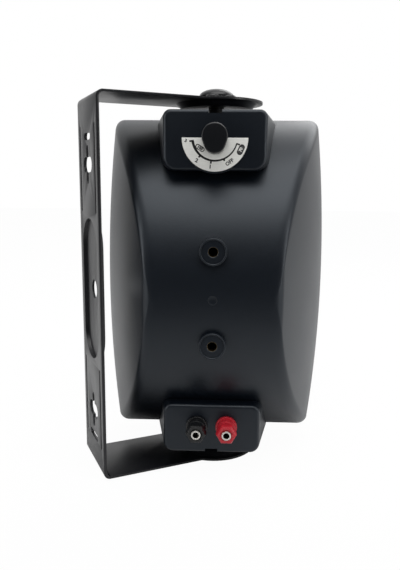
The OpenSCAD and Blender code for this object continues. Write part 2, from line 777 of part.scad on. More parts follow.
module woofer_basket() {
    rim_in = woofer_hole_r - 0.6;
    seat_r = spider_r - 2.5;
    color([0.16, 0.16, 0.17]) difference() {
        driver(woofer_z) polygon([
            [woofer_r, -flange_t], [woofer_r, 0], [rim_in, 0], [rim_in - 4, 8], [magnet_r, basket_d - 1.5],
            [magnet_r, basket_d], [coil_r + 2, basket_d], [coil_r + 2, basket_d - 1.5],
            [seat_r - 2, basket_d - 1.5], [seat_r, spider_d], [spider_r + 0.5, spider_d],
            [rim_in - 6, 7], [rim_in - 2, -flange_t]]);
        for (a = [0 : 60 : 300]) translate([0, plate_y, woofer_z]) rotate([0, a, 0])
            translate([rim_in - 12, 15, 0]) cube([30, 11, 20], center = true);
        for (a = diagonals) rod(case_screw_r + loose_gap, plate_y - flange_t - eps, plate_y + eps,
            woofer_screw_ring * cos(a), woofer_z + woofer_screw_ring * sin(a));
    }
}

module woofer_magnet() {
    d = basket_d;
    color([0.25, 0.25, 0.26]) driver(woofer_z) polygon([
        [0, d], [coil_r - coil_t - gap_w, d], [coil_r - coil_t - gap_w, d + magnet_t - plate_t],
        [coil_r + gap_w, d + magnet_t - plate_t], [coil_r + gap_w, d], [magnet_r - 2, d],
        [magnet_r - 2, d + plate_t], [magnet_r, d + plate_t], [magnet_r, d + magnet_t - plate_t],
        [magnet_r - 2, d + magnet_t - plate_t], [magnet_r - 2, d + magnet_t], [0, d + magnet_t]]);
}

module woofer_surround() {
    land = -flange_t - rubber_t;
    color([0.04, 0.04, 0.04]) driver(woofer_z) polygon(concat(
        [[surround_r, -flange_t], [surround_r, land]],
        [for (a = [0 : 15 : 180]) [roll_mid + roll_r * cos(a), land - roll_r * sin(a)]],
        [[cone_r - 2.5, land], [cone_r - 2.5, -flange_t]],
        [for (a = [180 : -15 : 0]) [roll_mid + (roll_r - rubber_t) * cos(a),
            -flange_t - (roll_r - rubber_t) * sin(a)]]));
}

module woofer_cone() {
    top = -flange_t;
    color([0.1, 0.1, 0.11]) driver(woofer_z) polygon([
        [cone_r, top], [cone_r, top + cone_t], [cone_r - 3, top + cone_t],
        [coil_r + 0.2, cone_neck + cone_t], [coil_r, cone_neck + cone_t], [coil_r, cone_neck - 0.4],
        [cone_r - 3.4, top]]);
}

module dust_cap() {
    cap_r = 17;
    cap_t = 0.7;
    rise = 5;
    color([0.05, 0.05, 0.05]) driver(woofer_z) polygon(concat(
        [for (a = [0 : 10 : 90]) [cap_r * cos(a), cone_front(cap_r) - rise * sin(a)]],
        [for (a = [90 : -10 : 0]) [(cap_r - cap_t) * cos(a),
            cone_front(cap_r - cap_t * cos(a)) - (rise - cap_t + 0.55) * sin(a)]]));
}

module voice_coil() {
    color([0.6, 0.35, 0.15]) driver(woofer_z) polygon([
        [coil_r - coil_t, coil_top], [coil_r, coil_top],
        [coil_r, coil_top + coil_len], [coil_r - coil_t, coil_top + coil_len]]);
}

// Rippled cloth from the voice coil out to its seat in the basket
module spider() {
    d = spider_d - spider_t;
    inner = [for (i = [0 : 20]) [coil_r + 0.8 + 0.6 * i, d + 0.35 * sin(90 * i)]];
    outline = concat([[coil_r, d]], inner, [[spider_r, d]]);
    color([0.75, 0.6, 0.3]) driver(woofer_z) polygon(concat(outline,
        [for (i = [len(outline) - 1 : -1 : 0]) outline[i] + [0, spider_t]]));
}

module woofer_screws() {
    color([0.3, 0.3, 0.32]) for (a = diagonals)
        pan_screw(case_screw_r, 2.6, 1.6, baffle_t + flange_t, woofer_screw_ring * cos(a),
            plate_y - flange_t, woofer_z + woofer_screw_ring * sin(a));
}

tweeter_face_t = 2.5;
module tweeter_faceplate() {
    color([0.08, 0.08, 0.09]) difference() {
        driver(tweeter_z) polygon([
            [tweeter_r, 0], [tweeter_r, -tweeter_face_t + 0.6], [tweeter_r - 0.6, -tweeter_face_t],
            [dome_r + 9, -tweeter_face_t], [dome_r + 1.5, -0.6], [dome_r + 1.5, 0]]);
        for (a = diagonals) rod(small_screw_r + loose_gap, plate_y - tweeter_face_t - eps, plate_y + eps,
            tweeter_screw_ring * cos(a), tweeter_z + tweeter_screw_ring * sin(a));
    }
}

module tweeter_dome() {
    rise = 4;
    color([0.2, 0.2, 0.21]) driver(tweeter_z) polygon(concat(
        [[0, 0], [dome_r + 1.2, 0], [dome_r + 1.2, -0.5], [dome_r, -0.5]],
        [for (a = [15 : 15 : 90]) [dome_r * cos(a), -0.5 - rise * sin(a)]]));
}

module tweeter_magnet() {
    color([0.25, 0.25, 0.26]) driver(tweeter_z) polygon([
        [0, 0], [tweeter_magnet_r, 0], [tweeter_magnet_r, tweeter_magnet_t - 1],
        [tweeter_magnet_r - 1, tweeter_magnet_t], [0, tweeter_magnet_t]]);
}

module tweeter_screws() {
    color([0.3, 0.3, 0.32]) for (a = diagonals)
        pan_screw(small_screw_r, 2.2, 1.3, baffle_t + tweeter_face_t, tweeter_screw_ring * cos(a),
            plate_y - tweeter_face_t, tweeter_z + tweeter_screw_ring * sin(a));
}

board_face = stand_y - board_t;
module crossover_board() {
    color([0.1, 0.35, 0.15]) difference() {
        translate([-board_w / 2, board_face, board_z - board_h / 2]) cube([board_w, board_t, board_h]);
        for (p = board_places) rod(small_screw_r + loose_gap, board_face - eps, stand_y + eps, p[0], p[1]);
    }
}

module crossover_coil() {
    color([0.7, 0.4, 0.18]) difference() {
        rod(choke_r, board_face - choke_l, board_face, choke_x, board_z);
        rod(choke_bore_r, board_face - choke_l - eps, board_face + eps, choke_x, board_z);
    }
}

module crossover_capacitor() {
    color([0.15, 0.2, 0.45]) translate([2, board_face - capacitor_r, board_z]) rotate([0, 90, 0])
        cylinder(r = capacitor_r, h = capacitor_l);
}

module board_screws() {
    color([0.5, 0.5, 0.52]) for (p = board_places)
        pan_screw(small_screw_r, 2.3, 1.3, board_t + 6, p[0], board_face, p[1]);
}

module transformer_core() {
    foot_t = 1.2;
    color([0.35, 0.35, 0.37]) difference() {
        union() {
            translate([0, core_y, trafo_z]) difference() {
                cube([core_w, core_t, core_h], center = true);
                for (s = [-1, 1]) translate([s * (leg_w + window_w) / 2, 0, 0])
                    cube([window_w, core_t + 1, core_h - 2 * yoke_h], center = true);
            }
            for (s = [-1, 1]) {
                translate([s > 0 ? core_w / 2 : -core_w / 2 - foot_t, core_y - core_t / 2, trafo_z - foot_w / 2])
                    cube([foot_t, stand_y - core_y + core_t / 2, foot_w]);
                translate([s > 0 ? core_w / 2 : -core_w / 2 - foot_l, stand_y - foot_t, trafo_z - foot_w / 2])
                    cube([foot_l, foot_t, foot_w]);
            }
        }
        for (p = trafo_places) rod(case_screw_r + loose_gap, stand_y - foot_t - eps, stand_y + eps, p[0], p[1]);
    }
}

module transformer_winding() {
    color([0.8, 0.7, 0.25]) translate([0, core_y, trafo_z]) difference() {
        cube([leg_w + 2 * window_w, winding_t, core_h - 2 * yoke_h], center = true);
        cube([leg_w, core_t, core_h], center = true);
    }
}

module transformer_screws() {
    color([0.5, 0.5, 0.52]) for (p = trafo_places)
        pan_screw(case_screw_r, 3, 2, 8, p[0], stand_y - 1.2, p[1]);
}

rear_cabinet();
front_baffle();
baffle_gasket();
grille();
case_screws();
rear_insert_upper();
rear_insert_lower();
pivot_insert_top();
pivot_insert_bottom();
bracket();
clamp_knob();
clamp_screw();
top_spacer();
bottom_spacer();
bottom_bolt();
bottom_washer();
dial_plate();
tap_knob();
tap_shaft();
tap_switch();
switch_nut();
black_post_base();
red_post_base();
black_post_cap();
red_post_cap();
post_tubes();
post_nuts();
woofer_basket();
woofer_magnet();
woofer_surround();
woofer_cone();
dust_cap();
voice_coil();
spider();
woofer_screws();
tweeter_faceplate();
tweeter_dome();
tweeter_magnet();
tweeter_screws();
crossover_board();
crossover_coil();
crossover_capacitor();
board_screws();
transformer_core();
transformer_winding();
transformer_screws();
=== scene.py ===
"""Two-way wall speaker: finish, fine surfaces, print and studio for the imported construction.

Row frame, in metres: +Z up, the grille faces -Y, the terminals face +Y, and the origin is
midway between the two threaded inserts in the back.
"""

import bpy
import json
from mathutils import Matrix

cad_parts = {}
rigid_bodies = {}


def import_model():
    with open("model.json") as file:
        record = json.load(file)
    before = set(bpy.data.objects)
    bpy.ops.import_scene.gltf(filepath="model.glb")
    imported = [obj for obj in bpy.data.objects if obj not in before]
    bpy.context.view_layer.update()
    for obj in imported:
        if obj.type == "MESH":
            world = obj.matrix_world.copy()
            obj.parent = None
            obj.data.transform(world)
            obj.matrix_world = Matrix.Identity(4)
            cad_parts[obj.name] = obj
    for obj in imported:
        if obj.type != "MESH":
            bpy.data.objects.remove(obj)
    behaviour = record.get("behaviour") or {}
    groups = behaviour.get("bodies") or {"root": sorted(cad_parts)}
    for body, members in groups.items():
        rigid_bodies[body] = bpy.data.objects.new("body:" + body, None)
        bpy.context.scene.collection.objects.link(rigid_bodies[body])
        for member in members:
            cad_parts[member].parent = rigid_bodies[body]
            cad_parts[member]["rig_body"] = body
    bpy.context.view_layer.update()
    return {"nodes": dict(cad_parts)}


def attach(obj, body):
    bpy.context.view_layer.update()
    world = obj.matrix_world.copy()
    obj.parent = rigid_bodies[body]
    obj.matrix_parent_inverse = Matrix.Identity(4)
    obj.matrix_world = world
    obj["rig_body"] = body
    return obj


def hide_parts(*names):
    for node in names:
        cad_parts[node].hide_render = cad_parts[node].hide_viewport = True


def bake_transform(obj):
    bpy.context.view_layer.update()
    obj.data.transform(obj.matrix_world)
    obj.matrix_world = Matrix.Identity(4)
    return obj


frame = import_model()

import json
import math

import bmesh
import bpy
import numpy as np
from bpy.props import FloatProperty, FloatVectorProperty, PointerProperty
from mathutils import Matrix

bl_info = {
    "name": "Wall speaker",
    "version": (1, 0, 0),
    "blender": (4, 2, 0),
    "location": "View3D > Sidebar > Speaker",
    "description": "Builds the finish of a two-way wall speaker on a swivel bracket",
    "category": "Object",
}

MM = 0.001

# Depths behind the insert mouths, all as negative Y, and heights from the origin
RIM_Y = -93 * MM
SHOULDER_Y = -91 * MM
CROWN_Y = -0.8 * MM
PIVOT_Y = -71.7 * MM
BOSS_Y = -17.7 * MM
BAFFLE_BACK = -94 * MM
BAFFLE_FRONT = -115 * MM
PLATE_Y = -111 * MM
BOSS_TOP = 116.9 * MM
BOSS_LOW = 79.3 * MM
LOWER_END = 110 * MM
LOWER_LOW = 76 * MM
DIAL_Z = 99.5 * MM
DIAL_FRONT = -16.9 * MM
POST_Z = -91 * MM
POST_X = 10 * MM
INSERT_Z = 30 * MM
WOOFER_Z = -36 * MM
TWEETER_Z = 68 * MM
FLOOR_Z = -129.4 * MM

# Draft, radii and half widths of what the mouldings carry
BOSS_DRAFT = math.radians(9.5)
SLEEVE_R = 8.7 * MM
SLEEVE = 15 * MM
POST_HOLE = 3.15 * MM
SHAFT_HOLE = 4.55 * MM
GROOVE = 4.25 * MM
WOOFER_HOLE = 54 * MM
TWEETER_HOLE = 20.4 * MM

# The camera: its place, its turn about Z, its tilt down and its roll
CAMERA_PLACE = (-5.33 * MM, 350.92 * MM, 72.12 * MM)
CAMERA_TURNS = (-0.0377, 0.1765, 0.0083)


def length(name, about, value, low=0.0, high=1.0):
    """A size in metres, shown in the units of the scene."""
    return FloatProperty(
        name=name, description=about, default=value, min=low, max=high, unit="LENGTH", precision=5
    )


def share(name, about, value, high=1.0):
    """A plain number from 0 up, such as a roughness."""
    return FloatProperty(
        name=name, description=about, default=value, min=0.0, max=high, subtype="FACTOR"
    )


def tint(name, about, value):
    """A colour as linear red, green and blue."""
    return FloatVectorProperty(
        name=name, description=about, default=value, min=0.0, max=1.0, size=3, subtype="COLOR"
    )


def watts(name, about, value):
    """The power of a lamp."""
    return FloatProperty(name=name, description=about, default=value, unit="POWER")


class SpeakerCabinetSettings(bpy.types.PropertyGroup):
    """Shape and finish of the moulded cabinet."""

    half_height: length("Half height", "Half the height over the flat top and bottom", 117.5 * MM)
    rim_half: length("Rim half-width", "Half the width at the rim, halfway up", 81.75 * MM)
    crown_half: length("Crown half-width", "Half the width of the back, halfway up", 42.5 * MM)
    rim_bow: length("Rim bow", "How far each side draws in at the top and bottom", 7.2 * MM)
    corner: length("Corner radius", "Radius of the four corners seen from behind", 7 * MM)
    edge: length("Edge rounding", "Rounding between the back and the sides", 5 * MM)
    wall: length("Wall", "Thickness of the moulding", 3 * MM)
    boss_half: length("Boss half-width", "Half the width of a boss at its face", 32.5 * MM)
    boss_soft: length("Boss edge", "Rounding round the face of a boss", 2.2 * MM)
    side_power: FloatProperty(
        name="Side power", description="Exponent of the sides' curve", default=1.5
    )
    colour: tint("Colour", "Colour of the moulded plastic", (0.0014, 0.003, 0.0062))
    roughness: share("Roughness", "Roughness of the grained plastic", 0.39)
    grain: length("Grain", "Distance between the grains of the moulded texture", 0.55 * MM)
    grain_depth: length("Grain depth", "Depth of the moulded texture", 0.055 * MM)


class SpeakerGrilleSettings(bpy.types.PropertyGroup):
    """Shape and finish of the perforated grille."""

    half_width: length("Half width", "Half the width of the grille, halfway up", 70.95 * MM)
    half_height: length("Half height", "Half the height of the grille", 106.7 * MM)
    bow: length("Bow", "How far the middle of the grille stands forward of its edge", 13 * MM)
    pitch: length("Hole pitch", "Distance between the holes of one row", 3.9 * MM)
    hole: length("Hole", "Diameter of one hole", 2.5 * MM)
    sheet: length("Sheet", "Thickness of the sheet", 0.8 * MM)
    border: length("Border", "Width of the unperforated border", 4 * MM)
    colour: tint("Colour", "Colour of the coated steel", (0.018, 0.018, 0.02))
    roughness: share("Roughness", "Roughness of the coated steel", 0.5)


class SpeakerBracketSettings(bpy.types.PropertyGroup):
    """Finish of the bracket and its hardware."""

    edge: length("Edge softness", "Rounding of the sheared and pressed edges", 0.35 * MM)
    colour: tint("Colour", "Colour of the powder coat", (0.0055, 0.006, 0.0078))
    roughness: share("Roughness", "Roughness of the powder coat", 0.38)
    peel: length("Peel", "Distance between the waves of the powder coat", 0.9 * MM)


class SpeakerDialSettings(bpy.types.PropertyGroup):
    """Sizes and colours of the tap selector's dial."""

    scale_radius: length("Scale radius", "Radius of the printed scale", 14 * MM)
    letter: length("Letter height", "Height of the printed figures", 2.3 * MM)
    knob: length("Knob radius", "Radius of the knob", 7.9 * MM)
    film: tint("Film", "Colour of the dial film", (0.86, 0.86, 0.82))
    ink: tint("Ink", "Colour of the print", (0.006, 0.006, 0.007))


class SpeakerPostSettings(bpy.types.PropertyGroup):
    """Sizes and colours of the binding posts."""

    flats: length("Over flats", "Width of the hexagon cap over its flats", 11.9 * MM)
    skirt: length("Skirt radius", "Radius of the cap's round skirt", 6.3 * MM)
    tube: length("Tube radius", "Outer radius of the metal tube", 3.1 * MM)
    red: tint("Red", "Colour of the red post", (0.4, 0.012, 0.022))
    black: tint("Black", "Colour of the black post", (0.0035, 0.0038, 0.0045))


class SpeakerStudioSettings(bpy.types.PropertyGroup):
    """Camera and light."""

    lens: FloatProperty(
        name="Lens", description="Focal length for a 36 mm frame, in millimetres", default=36.35
    )
    key: watts("Top light", "Power of the soft light over the camera", 7.0)
    side: watts("Side lights", "Power of each light at the sides and at the back", 3.6)
    fill: share("Surround", "Level of the room behind the camera", 0.05, 2.0)
    floor: tint("Floor", "Colour of the floor", (0.86, 0.86, 0.86))


def settings(group):
    """The settings that belong to one group of pieces."""
    return getattr(bpy.context.scene, "speaker_" + group)


# Mesh helpers


def grid_faces(rows, columns, wrap_rows=False):
    """Quads between neighbouring rows and columns of a grid of points that is stored row by row.
    The last column joins the first, and with wrap_rows the last row joins the first row too."""
    i = np.arange(rows if wrap_rows else rows - 1)[:, None]
    j = np.arange(columns)[None, :]
    right, down = (j + 1) % columns, (i + 1) % rows
    corners = (i * columns + j, i * columns + right, down * columns + right, down * columns + j)
    return np.stack(np.broadcast_arrays(*corners), -1).reshape(-1, 4)


def piece(name, points, faces):
    """A mesh object at the origin with merged points and outward normals."""
    mesh = bpy.data.meshes.new(name)
    corners = np.asarray(points, float).reshape(-1, 3).tolist()
    mesh.from_pydata(corners, [], [list(f) for f in faces])
    obj = placed(name, mesh)
    tidy(mesh)
    return obj


def placed(name, data):
    """A new object in the scene."""
    obj = bpy.data.objects.new(name, data)
    bpy.context.scene.collection.objects.link(obj)
    return obj


def tidy(mesh):
    """Merges doubled points, drops faces without area and turns the normals outwards."""
    bm = bmesh.new()
    bm.from_mesh(mesh)
    bmesh.ops.remove_doubles(bm, verts=bm.verts, dist=1e-6)
    bmesh.ops.dissolve_degenerate(bm, edges=bm.edges, dist=1e-7)
    bmesh.ops.recalc_face_normals(bm, faces=bm.faces)
    bm.to_mesh(mesh)
    bm.free()


def loft(name, rings):
    """A closed skin over rings of equal length: quads between neighbouring rings and a flat cap at
    each end. rings has the shape (rings, points, 3)."""
    rows, columns = rings.shape[:2]
    caps = [range(columns - 1, -1, -1), range((rows - 1) * columns, rows * columns)]
    return piece(name, rings, grid_faces(rows, columns).tolist() + [list(c) for c in caps])


def turned(name, profile, centre, axis="y", steps=64, closed=False):
    """A profile of (radius, height) turned about an axis through centre: x = r cos t, z = r sin t
    and y = h, or the same with y and z exchanged for the axis z. A closed profile makes a ring, and
    an open one starts and ends on the axis."""
    radius, height = np.asarray(profile, float).T[:, :, None]
    angle = np.linspace(0, 2 * np.pi, steps, endpoint=False)[None, :]
    flat = [radius * np.cos(angle), radius * np.sin(angle), height + 0 * angle]
    order = (0, 2, 1) if axis == "y" else (0, 1, 2)
    points = np.stack([flat[k] for k in order], -1) + np.asarray(centre, float)
    return piece(name, points, grid_faces(len(profile), steps, wrap_rows=closed))


def block(name, low, high):
    """A box between two corners, as a loft of two square rings."""
    (x0, y0, z0), (x1, y1, z1) = low, high
    square = np.array([[x0, z0], [x1, z0], [x1, z1], [x0, z1]])
    rings = [np.column_stack([square[:, 0], np.full(4, y), square[:, 1]]) for y in (y0, y1)]
    return loft(name, np.array(rings))


def rod(name, radius, y0, y1, x=0.0, z=0.0, steps=64):
    """A cylinder along Y."""
    return turned(name, [(0, y0), (radius, y0), (radius, y1), (0, y1)], (x, 0, z), "y", steps)


def pin(name, radius, z0, z1, steps=64):
    """A cylinder along the swivel axis."""
    return turned(name, [(0, z0), (radius, z0), (radius, z1), (0, z1)], (0, PIVOT_Y, 0), "z", steps)


def baked(obj):
    """Applies the modifiers of obj to its mesh."""
    bpy.context.view_layer.update()
    graph = bpy.context.evaluated_depsgraph_get()
    mesh = bpy.data.meshes.new_from_object(obj.evaluated_get(graph))
    mesh.name = obj.name
    obj.modifiers.clear()
    obj.data = mesh
    return obj


def combined(base, others, operation):
    """Joins the others to base, or cuts them out of it, with exact Booleans, and removes them."""
    for other in others:
        step = base.modifiers.new(operation, "BOOLEAN")
        step.operation, step.solver, step.object = operation, "EXACT", other
    baked(base)
    for other in others:
        bpy.data.objects.remove(other)
    return base


def softened(node, width, segments=2, angle=38):
    """A copy of a CAD node with its loose triangles merged, its flat parts joined and its edges
    rounded."""
    mesh = frame["nodes"][node].data.copy()
    obj = placed(node + "_finish", mesh)
    bm = bmesh.new()
    bm.from_mesh(mesh)
    bmesh.ops.remove_doubles(bm, verts=bm.verts, dist=2e-6)
    bmesh.ops.dissolve_limit(bm, angle_limit=math.radians(0.4), verts=bm.verts, edges=bm.edges)
    bm.to_mesh(mesh)
    bm.free()
    bevel = obj.modifiers.new("edges", "BEVEL")
    bevel.width, bevel.segments = width, segments
    bevel.limit_method, bevel.angle_limit = "ANGLE", math.radians(angle)
    return shaded(baked(obj), angle)


def shaded(obj, angle=35):
    """Smooth shading, broken where two faces meet at more than the angle."""
    obj.data.shade_smooth()
    obj.data.set_sharp_from_angle(angle=math.radians(angle))
    return obj


def fitted(obj, slot, body, *nodes):
    """Gives a piece its finish, the body that it rides on and the CAD nodes that it stands for."""
    obj.data.materials.clear()
    obj.data.materials.append(bpy.data.materials[slot])
    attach(obj, body)
    if nodes:
        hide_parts(*nodes)
    return obj


# Shader helpers


class Wire:
    """A value in a material. Arithmetic on wires and numbers adds Math nodes."""

    def __init__(self, finish, socket):
        self.finish, self.socket = finish, socket

    def _math(self, operation, *values):
        return self.finish.node("ShaderNodeMath", {"operation": operation}, dict(enumerate(values)))

    def __add__(self, other):
        return self._math("ADD", self, other)

    def __sub__(self, other):
        return self._math("SUBTRACT", self, other)

    def __rsub__(self, other):
        return self._math("SUBTRACT", other, self)

    def __mul__(self, other):
        return self._math("MULTIPLY", self, other)

    __radd__ = __add__
    __rmul__ = __mul__

    def least(self, other):
        return self._math("MINIMUM", self, other)

    def most(self, other):
        return self._math("MAXIMUM", self, other)

    def ramp(self, low, high):
        """0 at low, 1 at high and a smooth curve between them."""
        return self.finish.node(
            "ShaderNodeMapRange",
            {"interpolation_type": "SMOOTHSTEP"},
            {"Value": self, "From Min": low, "From Max": high, "To Min": 0.0, "To Max": 1.0},
        )


class Finish:
    """A material's node tree and the calls that fill it."""

    def __init__(self, name, kind="material"):
        if kind == "world":
            owner = bpy.data.worlds.new(name)
        else:
            owner = bpy.data.materials.get(name) or bpy.data.materials.new(name)
        owner.use_nodes = True
        self.owner, self.tree = owner, owner.node_tree
        self.tree.nodes.clear()
        if kind == "material":
            self.place = self.node("ShaderNodeTexCoord", output="Object")

    def node(self, kind, options=None, inputs=None, output=0):
        """Adds a node: its options first, then its sockets by name or number, as wires or plain
        values."""
        made = self.tree.nodes.new(kind)
        for key, value in (options or {}).items():
            setattr(made, key, value)
        for key, value in (inputs or {}).items():
            if isinstance(value, Wire):
                self.tree.links.new(value.socket, made.inputs[key])
            else:
                made.inputs[key].default_value = value
        return Wire(self, made.outputs[output]) if len(made.outputs) else made

    def noise(self, scale, detail=2.0, rough=0.5, stretch=(1, 1, 1), distort=0.0):
        """Cloudy noise from 0 to 1, with its own scale along each axis."""
        place = self.place
        if stretch != (1, 1, 1):
            place = self.node("ShaderNodeMapping", None, {"Vector": place, "Scale": stretch})
        inputs = {"Vector": place, "Scale": scale, "Detail": detail, "Roughness": rough}
        return self.node("ShaderNodeTexNoise", None, {**inputs, "Distortion": distort})

    def cells(self, scale):
        """Distance to the nearest point of a cell pattern."""
        inputs = {"Vector": self.place, "Scale": scale}
        return self.node("ShaderNodeTexVoronoi", None, inputs, "Distance")

    def bands(self, scale, direction, distort=0.0):
        """Soft stripes across one direction."""
        options = {"wave_type": "BANDS", "bands_direction": direction, "wave_profile": "SIN"}
        inputs = {"Vector": self.place, "Scale": scale, "Distortion": distort}
        return self.node("ShaderNodeTexWave", options, inputs, "Fac")

    def along(self, axis, place=None):
        """One coordinate of the place on the piece, or of another place."""
        return self.node("ShaderNodeSeparateXYZ", None, {0: place or self.place}, axis)

    def rays(self, *kinds):
        """1 for rays of the kinds that are named, such as Camera or Glossy, and 0 for the
        others."""
        found = [self.node("ShaderNodeLightPath", output=f"Is {kind} Ray") for kind in kinds]
        return sum(found[1:], found[0])

    def blend(self, factor, a, b):
        """A colour between a and b."""
        a, b = ((*c, 1) if isinstance(c, tuple) else c for c in (a, b))
        inputs = {"Factor": factor, 6: a, 7: b}
        return self.node("ShaderNodeMix", {"data_type": "RGBA"}, inputs, 2)

    def tones(self, factor, colour, low, high):
        """A colour scaled by low where the factor is 0 and by high where it is 1."""
        return self.blend(factor, scaled(colour, low), scaled(colour, high))

    def bump(self, height, distance, strength=1.0, under=None):
        """A normal from a height from 0 to 1 over a distance in metres."""
        inputs = {"Height": height, "Distance": distance, "Strength": strength}
        if under is not None:
            inputs["Normal"] = under
        return self.node("ShaderNodeBump", None, inputs)

    def surface(self, colour, roughness, normal, **constants):
        """The principled shader and the material's output. Constants are set on the shader's own
        sockets."""
        inputs = {"Base Color": colour, "Roughness": roughness, "Normal": normal}
        inputs.update({key.replace("_", " "): value for key, value in constants.items()})
        shader = self.node("ShaderNodeBsdfPrincipled", None, inputs)
        self.node("ShaderNodeOutputMaterial", None, {"Surface": shader})
        return self.owner


def scaled(colour, factor):
    """A colour made darker or lighter."""
    return tuple(min(1.0, c * factor) for c in colour)


def moulded(name, colour, roughness, grain, depth, cloud=0.12, **constants):
    """Injection-moulded plastic: a fine two-scale grain, slow drifts of gloss and a slight change
    of tone."""
    f = Finish(name)
    fine = f.noise(1 / grain, 3.0, 0.6)
    coarse = f.noise(0.35 / grain, 2.0, 0.5)
    drift = f.noise(14.0, 3.0, 0.55)
    tone = f.tones(drift.ramp(0.25, 0.75), colour, 0.88, 1.14)
    grainy = f.tones((fine * 0.6 + coarse * 0.4).ramp(0.3, 0.72), colour, 0.8, 1.3)
    colour_out = f.blend(0.5, tone, grainy)
    gloss = (drift - 0.5) * cloud + (fine - 0.5) * 0.16 + roughness
    normal = f.bump(fine * 0.65 + coarse * 0.35, depth)
    return f.surface(colour_out, gloss.most(0.05), normal, **constants)


def powder_coat(name, colour, roughness, peel, depth=0.03 * MM):
    """Baked powder coat: orange peel, a finer tooth, and slight rubbing of the gloss."""
    f = Finish(name)
    waves = f.noise(1 / peel, 1.5, 0.4)
    tooth = f.noise(4.5 / peel, 2.0, 0.6)
    rubbed = f.noise(22.0, 4.0, 0.6, (1, 1, 0.35))
    normal = f.bump(waves, depth, 0.8, f.bump(tooth, depth * 0.35, 0.7))
    tone = f.tones(rubbed.ramp(0.3, 0.8), colour, 0.9, 1.2)
    gloss = (rubbed - 0.5) * 0.2 + (tooth - 0.5) * 0.12 + roughness
    return f.surface(tone, gloss.most(0.08), normal)


def turned_metal(name, colour, roughness, ring=0.12 * MM):
    """Plated or bare turned metal: lathe marks across Y, a soft haze and small spots."""
    f = Finish(name)
    lathe = f.noise(1 / ring, 2.0, 0.7, (0.02, 1, 0.02))
    haze = f.noise(220.0, 4.0, 0.6)
    spots = f.noise(1800.0, 2.0, 0.5).ramp(0.62, 0.75)
    tone = f.tones((haze * 0.6 + spots * 0.4).least(1.0), colour, 1.06, 0.78)
    gloss = (lathe - 0.5) * 0.14 + (haze - 0.5) * 0.16 + roughness
    return f.surface(tone, gloss.most(0.06), f.bump(lathe, 0.006 * MM, 0.6), Metallic=1.0)


def plated_steel(name, colour, roughness, metallic=1.0):
    """Zinc or black plated steel: faint crystal cells, streaks and haze."""
    f = Finish(name)
    cells = f.cells(900.0)
    streaks = f.noise(320.0, 3.0, 0.6, (1, 1, 0.15))
    tone = f.tones(cells.ramp(0.1, 0.6), colour, 0.82, 1.08)
    gloss = (streaks - 0.5) * 0.25 + (cells - 0.4) * 0.1 + roughness
    return f.surface(tone, gloss.most(0.08), f.bump(streaks, 0.01 * MM, 0.5), Metallic=metallic)


def woven(name, light, dark, threads, roughness, depth, sheen=0.0):
    """Cloth: warp and weft stripes in the plane of the baffle, with fibre fuzz."""
    f = Finish(name)
    scale = 1 / (threads * 20)
    weave = f.bands(scale, "X") * f.bands(scale, "Z")
    fuzz = f.noise(2600.0, 3.0, 0.7)
    height = weave * 0.7 + fuzz * 0.3
    tone = f.blend(height.ramp(0.15, 0.7), dark, light)
    normal = f.bump(height, depth, 0.9)
    return f.surface(tone, (fuzz - 0.5) * 0.2 + roughness, normal, Sheen_Weight=sheen)


def paper(name, colour):
    """Pressed paper pulp: short fibres in all directions and soft mottling."""
    f = Finish(name)
    fibres = f.noise(1500.0, 4.0, 0.75, (1, 1, 3), 1.5)
    cross = f.noise(1500.0, 4.0, 0.75, (3, 1, 1), 1.5)
    mottled = f.noise(180.0, 3.0, 0.6)
    height = fibres.most(cross)
    tone = f.tones((height * 0.5 + mottled * 0.5).ramp(0.35, 0.75), colour, 0.7, 1.6)
    return f.surface(tone, (mottled - 0.5) * 0.2 + 0.78, f.bump(height, 0.05 * MM, 0.8))


def windings(name, colour):
    """Enamelled copper wire laid side by side."""
    f = Finish(name)
    wires = f.bands(110.0, "Z", 0.6)
    haze = f.noise(260.0, 3.0, 0.6)
    tone = f.tones(wires.ramp(0.1, 0.7), colour, 0.35, 1.1)
    return f.surface(tone, (haze - 0.5) * 0.2 + 0.32, f.bump(wires, 0.12 * MM, 0.7), Metallic=0.9)


def laminate(name, colour):
    """Circuit board laminate: glass weave under a lacquer."""
    f = Finish(name)
    weave = f.bands(60.0, "X", 0.3) * f.bands(60.0, "Z", 0.3)
    stains = f.noise(90.0, 4.0, 0.6)
    tone = f.tones((weave * 0.6 + stains * 0.4).ramp(0.2, 0.8), colour, 0.75, 1.25)
    return f.surface(tone, (stains - 0.5) * 0.15 + 0.35, f.bump(weave, 0.02 * MM, 0.5))


def film(name, colour):
    """Printed polyester film: faint brushing along X, a little dust and satin gloss."""
    f = Finish(name)
    brushed = f.noise(2400.0, 2.0, 0.6, (0.06, 1, 1))
    dust = f.noise(600.0, 3.0, 0.6)
    tone = f.tones((brushed * 0.5 + dust * 0.5).ramp(0.3, 0.7), colour, 0.95, 1.03)
    return f.surface(tone, (dust - 0.5) * 0.2 + 0.42, f.bump(brushed, 0.008 * MM, 0.5))


SLOTS = {
    "cabinet_plastic", "grille_steel", "bracket_steel", "knob_plastic", "black_post_plastic",
    "red_post_plastic", "dial_film", "nickel", "insert_brass", "zinc_steel", "black_steel",
    "rubber", "cone_paper", "spider_cloth", "dome_silk", "tweeter_plastic", "copper",
    "board_laminate",
}


